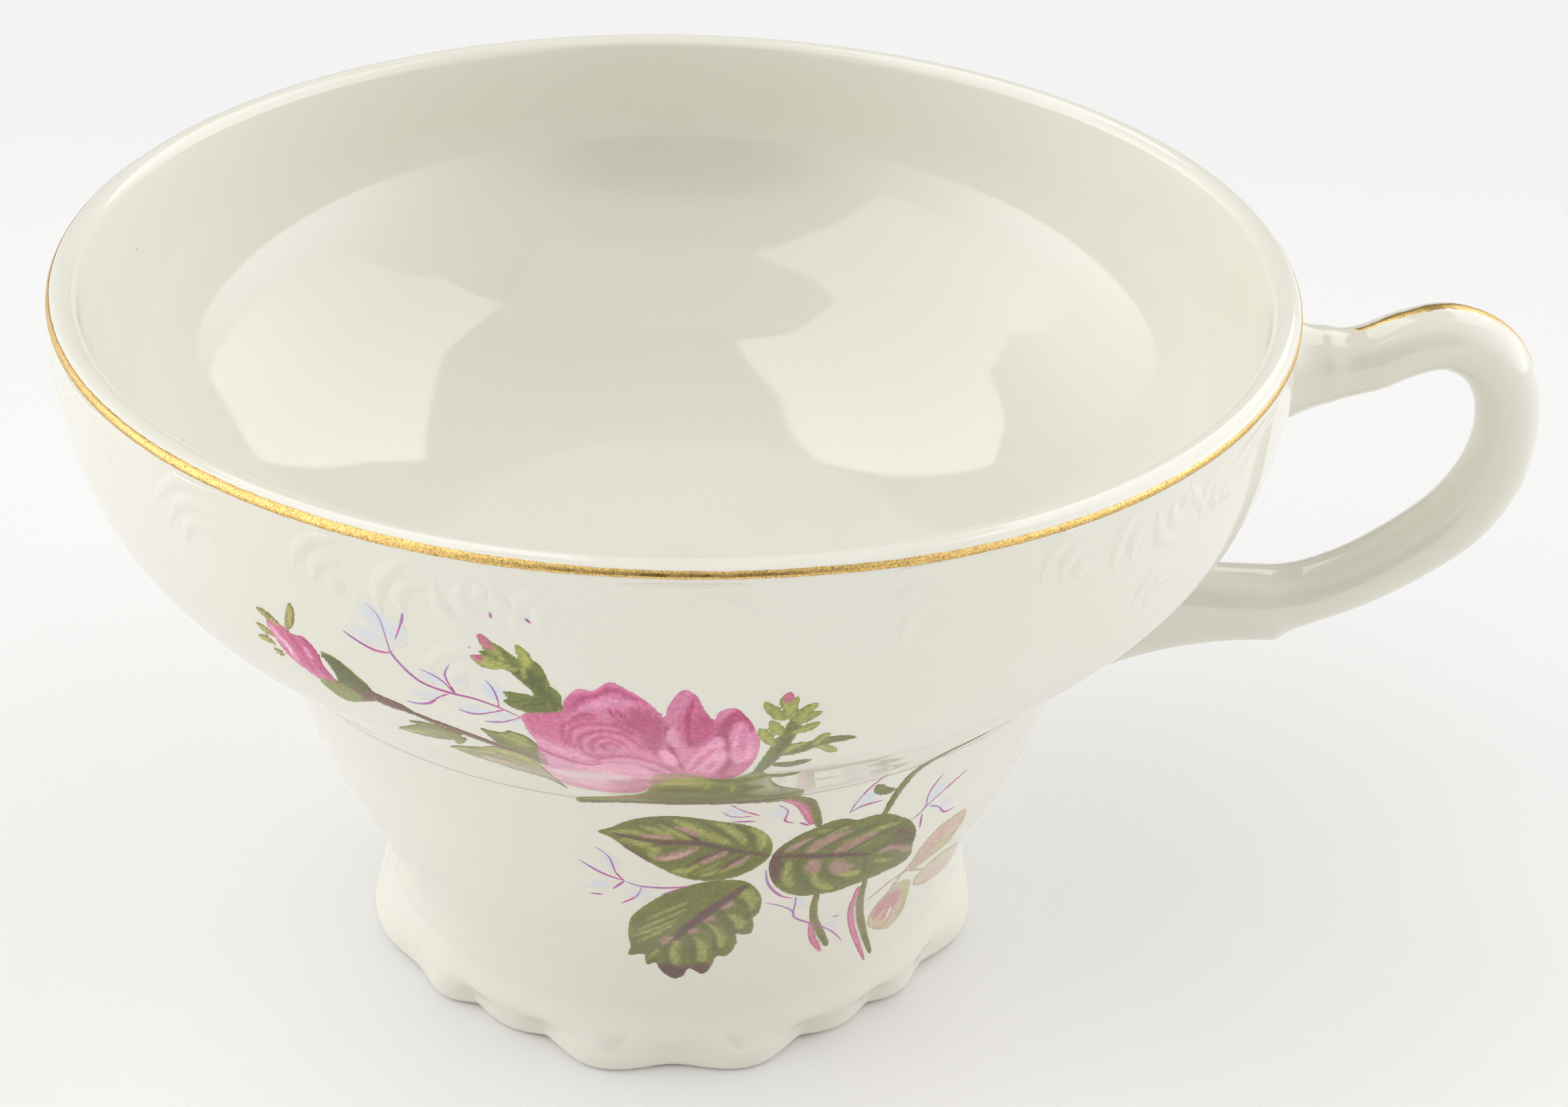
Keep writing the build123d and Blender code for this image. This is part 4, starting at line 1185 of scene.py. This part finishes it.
# Pale washes beside the twigs: azimuth, height along the wall, half length and half height (mm), and
# lean (degrees).
WASHES = [
    (-24.4, 23.4, 1.3, 0.6, -25), (-23.6, 25.0, 0.8, 1.5, 35), (-21.9, 24.2, 0.6, 1.0, 5),
    (-19.2, 20.9, 1.0, 0.5, -20), (-17.3, 21.6, 0.6, 1.2, 5), (-20.4, 19.0, 1.1, 0.4, 0),
    (-14.4, 20.6, 0.7, 1.1, 25), (-16.0, 18.5, 1.1, 0.4, 0), (-13.7, 18.0, 0.9, 0.5, -15),
    (7.0, -1.9, 1.2, 0.7, -25), (12.9, -2.9, 0.8, 0.9, -30), (24.6, -3.2, 1.2, 0.8, 10),
    (36.6, -6.2, 1.4, 0.9, 45), (39.6, -8.6, 1.2, 0.7, -30), (-10.4, -12.0, 1.2, 0.6, 10),
    (-4.6, -12.9, 1.3, 0.6, 0), (-8.6, -9.0, 0.7, 1.3, 30), (18.6, -16.2, 1.0, 0.7, 0),
    (26.8, -22.2, 1.2, 0.8, -35),
]


def sprig(name, twigs, ink):
    """Hair-thin twigs, violet at one end and magenta at the other."""
    return ribbons(name, twigs, ink, SPRIG_WIDTH, SPRIG_HEIGHT, SPRIG_INKS)


def sprig_washes(material):
    """Soft pale-blue leaf shapes, fading to the glaze's own colour at their edges."""
    paint = Print("glaze", 5, proud=0.02)
    for azimuth, run, long, high, lean in WASHES:
        turn = np.radians(np.linspace(0, 360, 8, endpoint=False))
        x, y = long * np.cos(turn), high * np.sin(turn)
        lean = math.radians(lean)
        x, y = x * math.cos(lean) - y * math.sin(lean), x * math.sin(lean) + y * math.cos(lean)
        outline = np.stack([azimuth + x / paint.scale[0], run + y], 1)
        middle = [azimuth, run]
        paint.area((outline - middle) * 1.25 + middle)
        paint.fill("blue", (outline - middle) * 0.75 + middle, soft=0.5, strength=0.75)
    return paint.make("sprig_washes", material)


# ---- camera, floor and light ----
def make_camera():
    """The camera: above and in front of the cup, looking down at it, slightly rolled."""
    yaw, pitch, roll = 0.0517, -0.5542, 0.0379
    look = Vector((math.sin(yaw) * math.cos(pitch), math.cos(yaw) * math.cos(pitch), math.sin(pitch)))
    right = Vector((math.cos(yaw), -math.sin(yaw), 0))
    up = right.cross(look)
    right, up = (
        math.cos(roll) * right + math.sin(roll) * up,
        math.cos(roll) * up - math.sin(roll) * right,
    )
    data = bpy.data.cameras.new("camera")
    data.lens = 55.07
    data.sensor_width = 36
    data.clip_start = 0.01
    camera = bpy.data.objects.new("camera", data)
    bpy.context.collection.objects.link(camera)
    turn = Matrix((right, up, -look)).transposed().to_4x4()
    camera.matrix_world = Matrix.Translation((0, -172.51 * MM, 141.31 * MM)) @ turn
    bpy.context.scene.camera = camera


def softbox(name, azimuth, elevation, distance, size, roll, radiance, colour):
    """A square-on light panel in a direction from the cup, unseen by the camera but seen in the glaze."""
    data = bpy.data.lights.new(name, "AREA")
    data.shape = "RECTANGLE"
    data.size, data.size_y = size
    data.energy = radiance * math.pi * size[0] * size[1]
    data.color = colour
    light = bpy.data.objects.new(name, data)
    bpy.context.collection.objects.link(light)
    az, el = math.radians(azimuth), math.radians(elevation)
    away = Vector((math.sin(az) * math.cos(el), -math.cos(az) * math.cos(el), math.sin(el)))
    side = Vector((0, 0, 1)).cross(away).normalized()
    rise = away.cross(side)
    turn = math.radians(roll)
    side, rise = (
        math.cos(turn) * side + math.sin(turn) * rise,
        math.cos(turn) * rise - math.sin(turn) * side,
    )
    frame_axes = Matrix((side, rise, away)).transposed().to_4x4()
    light.matrix_world = Matrix.Translation(Vector((0, 0, 0.045)) + distance * away) @ frame_axes
    light.visible_camera = False


def window(name, outline, height, radiance, colour):
    """A level light panel of any outline, in metres, facing down; only its glow and reflection show."""
    mat = bpy.data.materials.new(name)
    mat.use_nodes = True
    nodes = mat.node_tree.nodes
    nodes.clear()
    glow = nodes.new("ShaderNodeEmission")
    glow.inputs["Color"].default_value = (*colour, 1)
    glow.inputs["Strength"].default_value = radiance
    out = nodes.new("ShaderNodeOutputMaterial")
    mat.node_tree.links.new(glow.outputs[0], out.inputs[0])
    mesh = bpy.data.meshes.new(name)
    mesh.from_pydata(
        [(x * height, y * height, height) for x, y in outline], [], [tuple(range(len(outline)))],
    )
    mesh.materials.append(mat)
    panel = bpy.data.objects.new(name, mesh)
    bpy.context.collection.objects.link(panel)
    panel.visible_camera = False


def make_world():
    """Room light: warm from above and in front, cooler from both sides, with a dark spot in front."""
    world = bpy.data.worlds.new("studio")
    bpy.context.scene.world = world
    world.use_nodes = True
    nodes, links = world.node_tree.nodes, world.node_tree.links
    place = nodes.new("ShaderNodeTexCoord")
    split = nodes.new("ShaderNodeSeparateXYZ")
    links.new(place.outputs["Generated"], split.inputs[0])

    def maths(operation, a, b):
        node = nodes.new("ShaderNodeMath")
        node.operation = operation
        for socket, value in zip(node.inputs, (a, b)):
            if isinstance(value, (int, float)):
                socket.default_value = value
            else:
                links.new(value, socket)
        return node.outputs[0]

    def glow(strength, colour):
        node = nodes.new("ShaderNodeBackground")
        node.inputs["Color"].default_value = (*colour, 1)
        links.new(strength, node.inputs["Strength"])
        return node.outputs[0]

    side = maths("MULTIPLY", maths("POWER", maths("ABSOLUTE", split.outputs[0], 0), 3.0), WORLD_SIDE)
    ahead = maths("MAXIMUM", maths("MULTIPLY", split.outputs[1], -1.0), 0.0)
    behind = maths("MAXIMUM", split.outputs[1], 0.0)
    height = maths("MAXIMUM", split.outputs[2], 0.0)
    front = maths("MULTIPLY", ahead, maths("ADD", maths("MULTIPLY", height, WORLD_HIGH), WORLD_FRONT))
    base = maths(
        "MULTIPLY", maths("SUBTRACT", 1.0, maths("MULTIPLY", behind, WORLD_BACK_SHADE)), WORLD_BASE,
    )
    across, over = maths("MULTIPLY", split.outputs[1], SPOT_Y), maths("MULTIPLY", split.outputs[2], SPOT_Z)
    within = maths("MULTIPLY", maths("SUBTRACT", maths("ADD", across, over), SPOT_EDGE), SPOT_SHARPNESS)
    shade = maths("SMOOTH_MIN", maths("MAXIMUM", within, 0.0), 1.0)
    kept = maths("SUBTRACT", 1.0, maths("MULTIPLY", shade, SPOT_DEPTH))
    both = nodes.new("ShaderNodeAddShader")
    links.new(glow(maths("MULTIPLY", maths("ADD", front, base), kept), WARM), both.inputs[0])
    links.new(glow(side, COOL), both.inputs[1])
    links.new(both.outputs[0], nodes["World Output"].inputs["Surface"])


def make_stage():
    """A pale paper floor whose colour is painted lighter towards the front as painted fill light, with the
    windows, the fill light and the room.
    """
    mat, nodes, links, shader = node_material("paper_floor_painted_fill")
    place = nodes.new("ShaderNodeTexCoord")
    split = nodes.new("ShaderNodeSeparateXYZ")
    links.new(place.outputs["Object"], split.inputs[0])
    # Painted light: the floor's colour runs from darker at the back to lighter at the front, standing in
    # for fill light on the floor in front of the cup.
    near = nodes.new("ShaderNodeMapRange")
    near.inputs["From Min"].default_value = 0.18
    near.inputs["From Max"].default_value = -0.1
    links.new(split.outputs["Y"], near.inputs["Value"])
    paper = ramp(
        nodes, links, near.outputs["Result"], (0.0, (0.735, 0.725, 0.71)), (1.0, (0.91, 0.895, 0.875)),
    )
    links.new(paper, shader.inputs["Base Color"])
    shader.inputs["Roughness"].default_value = 0.95
    shader.inputs["Specular IOR Level"].default_value = 0.2
    half = 3.0
    mesh = bpy.data.meshes.new("floor")
    mesh.from_pydata(
        [(-half, -half, 0), (half, -half, 0), (half, half, 0), (-half, half, 0)], [], [(0, 1, 2, 3)],
    )
    floor = bpy.data.objects.new("floor", mesh)
    bpy.context.collection.objects.link(floor)
    mesh.materials.append(mat)
    cool = (0.97, 0.985, 1.0)
    window("right_window", RIGHT_WINDOW, 1.0, WINDOW_RADIANCE, cool)
    window("left_window", LEFT_WINDOW, 1.0, WINDOW_RADIANCE, cool)
    softbox("overhead_fill", 0, 80, 1.6, (1.4, 1.0), 0, 0.3, (1.0, 0.99, 0.97))
    make_world()


def main():
    glaze, gilding, ink, wash = porcelain(), gold(), ink_material(), wash_material()
    pieces = [
        (make_bowl(glaze), "cup_bowl", "porcelain"), (make_pedestal(glaze), "foot_pedestal", "porcelain"),
        (make_handle(glaze), "handle", "porcelain"), (make_relief(glaze), None, "porcelain"),
        (make_rim_line(gilding), "rim_gilt_line", "gilding"),
        (make_handle_line(gilding), "handle_gilt_line", "gilding"), (rose(ink), "rose_print", "rose_ink"),
        (rose_foliage(ink), "rose_foliage_print", "leaf_ink"), (rosebud(ink), "rosebud_print", "bud_ink"),
        (left_leaf(ink), "left_leaf_print", "leaf_ink"),
        (right_leaf(ink), "right_leaf_print", "leaf_ink"),
        (lower_leaf(ink), "lower_leaf_print", "leaf_ink"), (stalks(ink), "stalks_print", "stem_ink"),
        (small_buds(ink), "small_buds_print", "bud_ink"),
        (sprig("upper_sprig", UPPER_SPRIG, ink), None, "stem_ink"),
        (sprig("lower_sprig", LOWER_SPRIG, ink), None, "stem_ink"),
        (sprig_washes(wash), None, "stem_ink"),
    ]
    for piece, node, slot in pieces:
        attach(piece, "root")
        if node:
            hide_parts(node)
    make_stage()
    make_camera()
    bpy.context.scene.view_settings.view_transform = "Standard"


main()
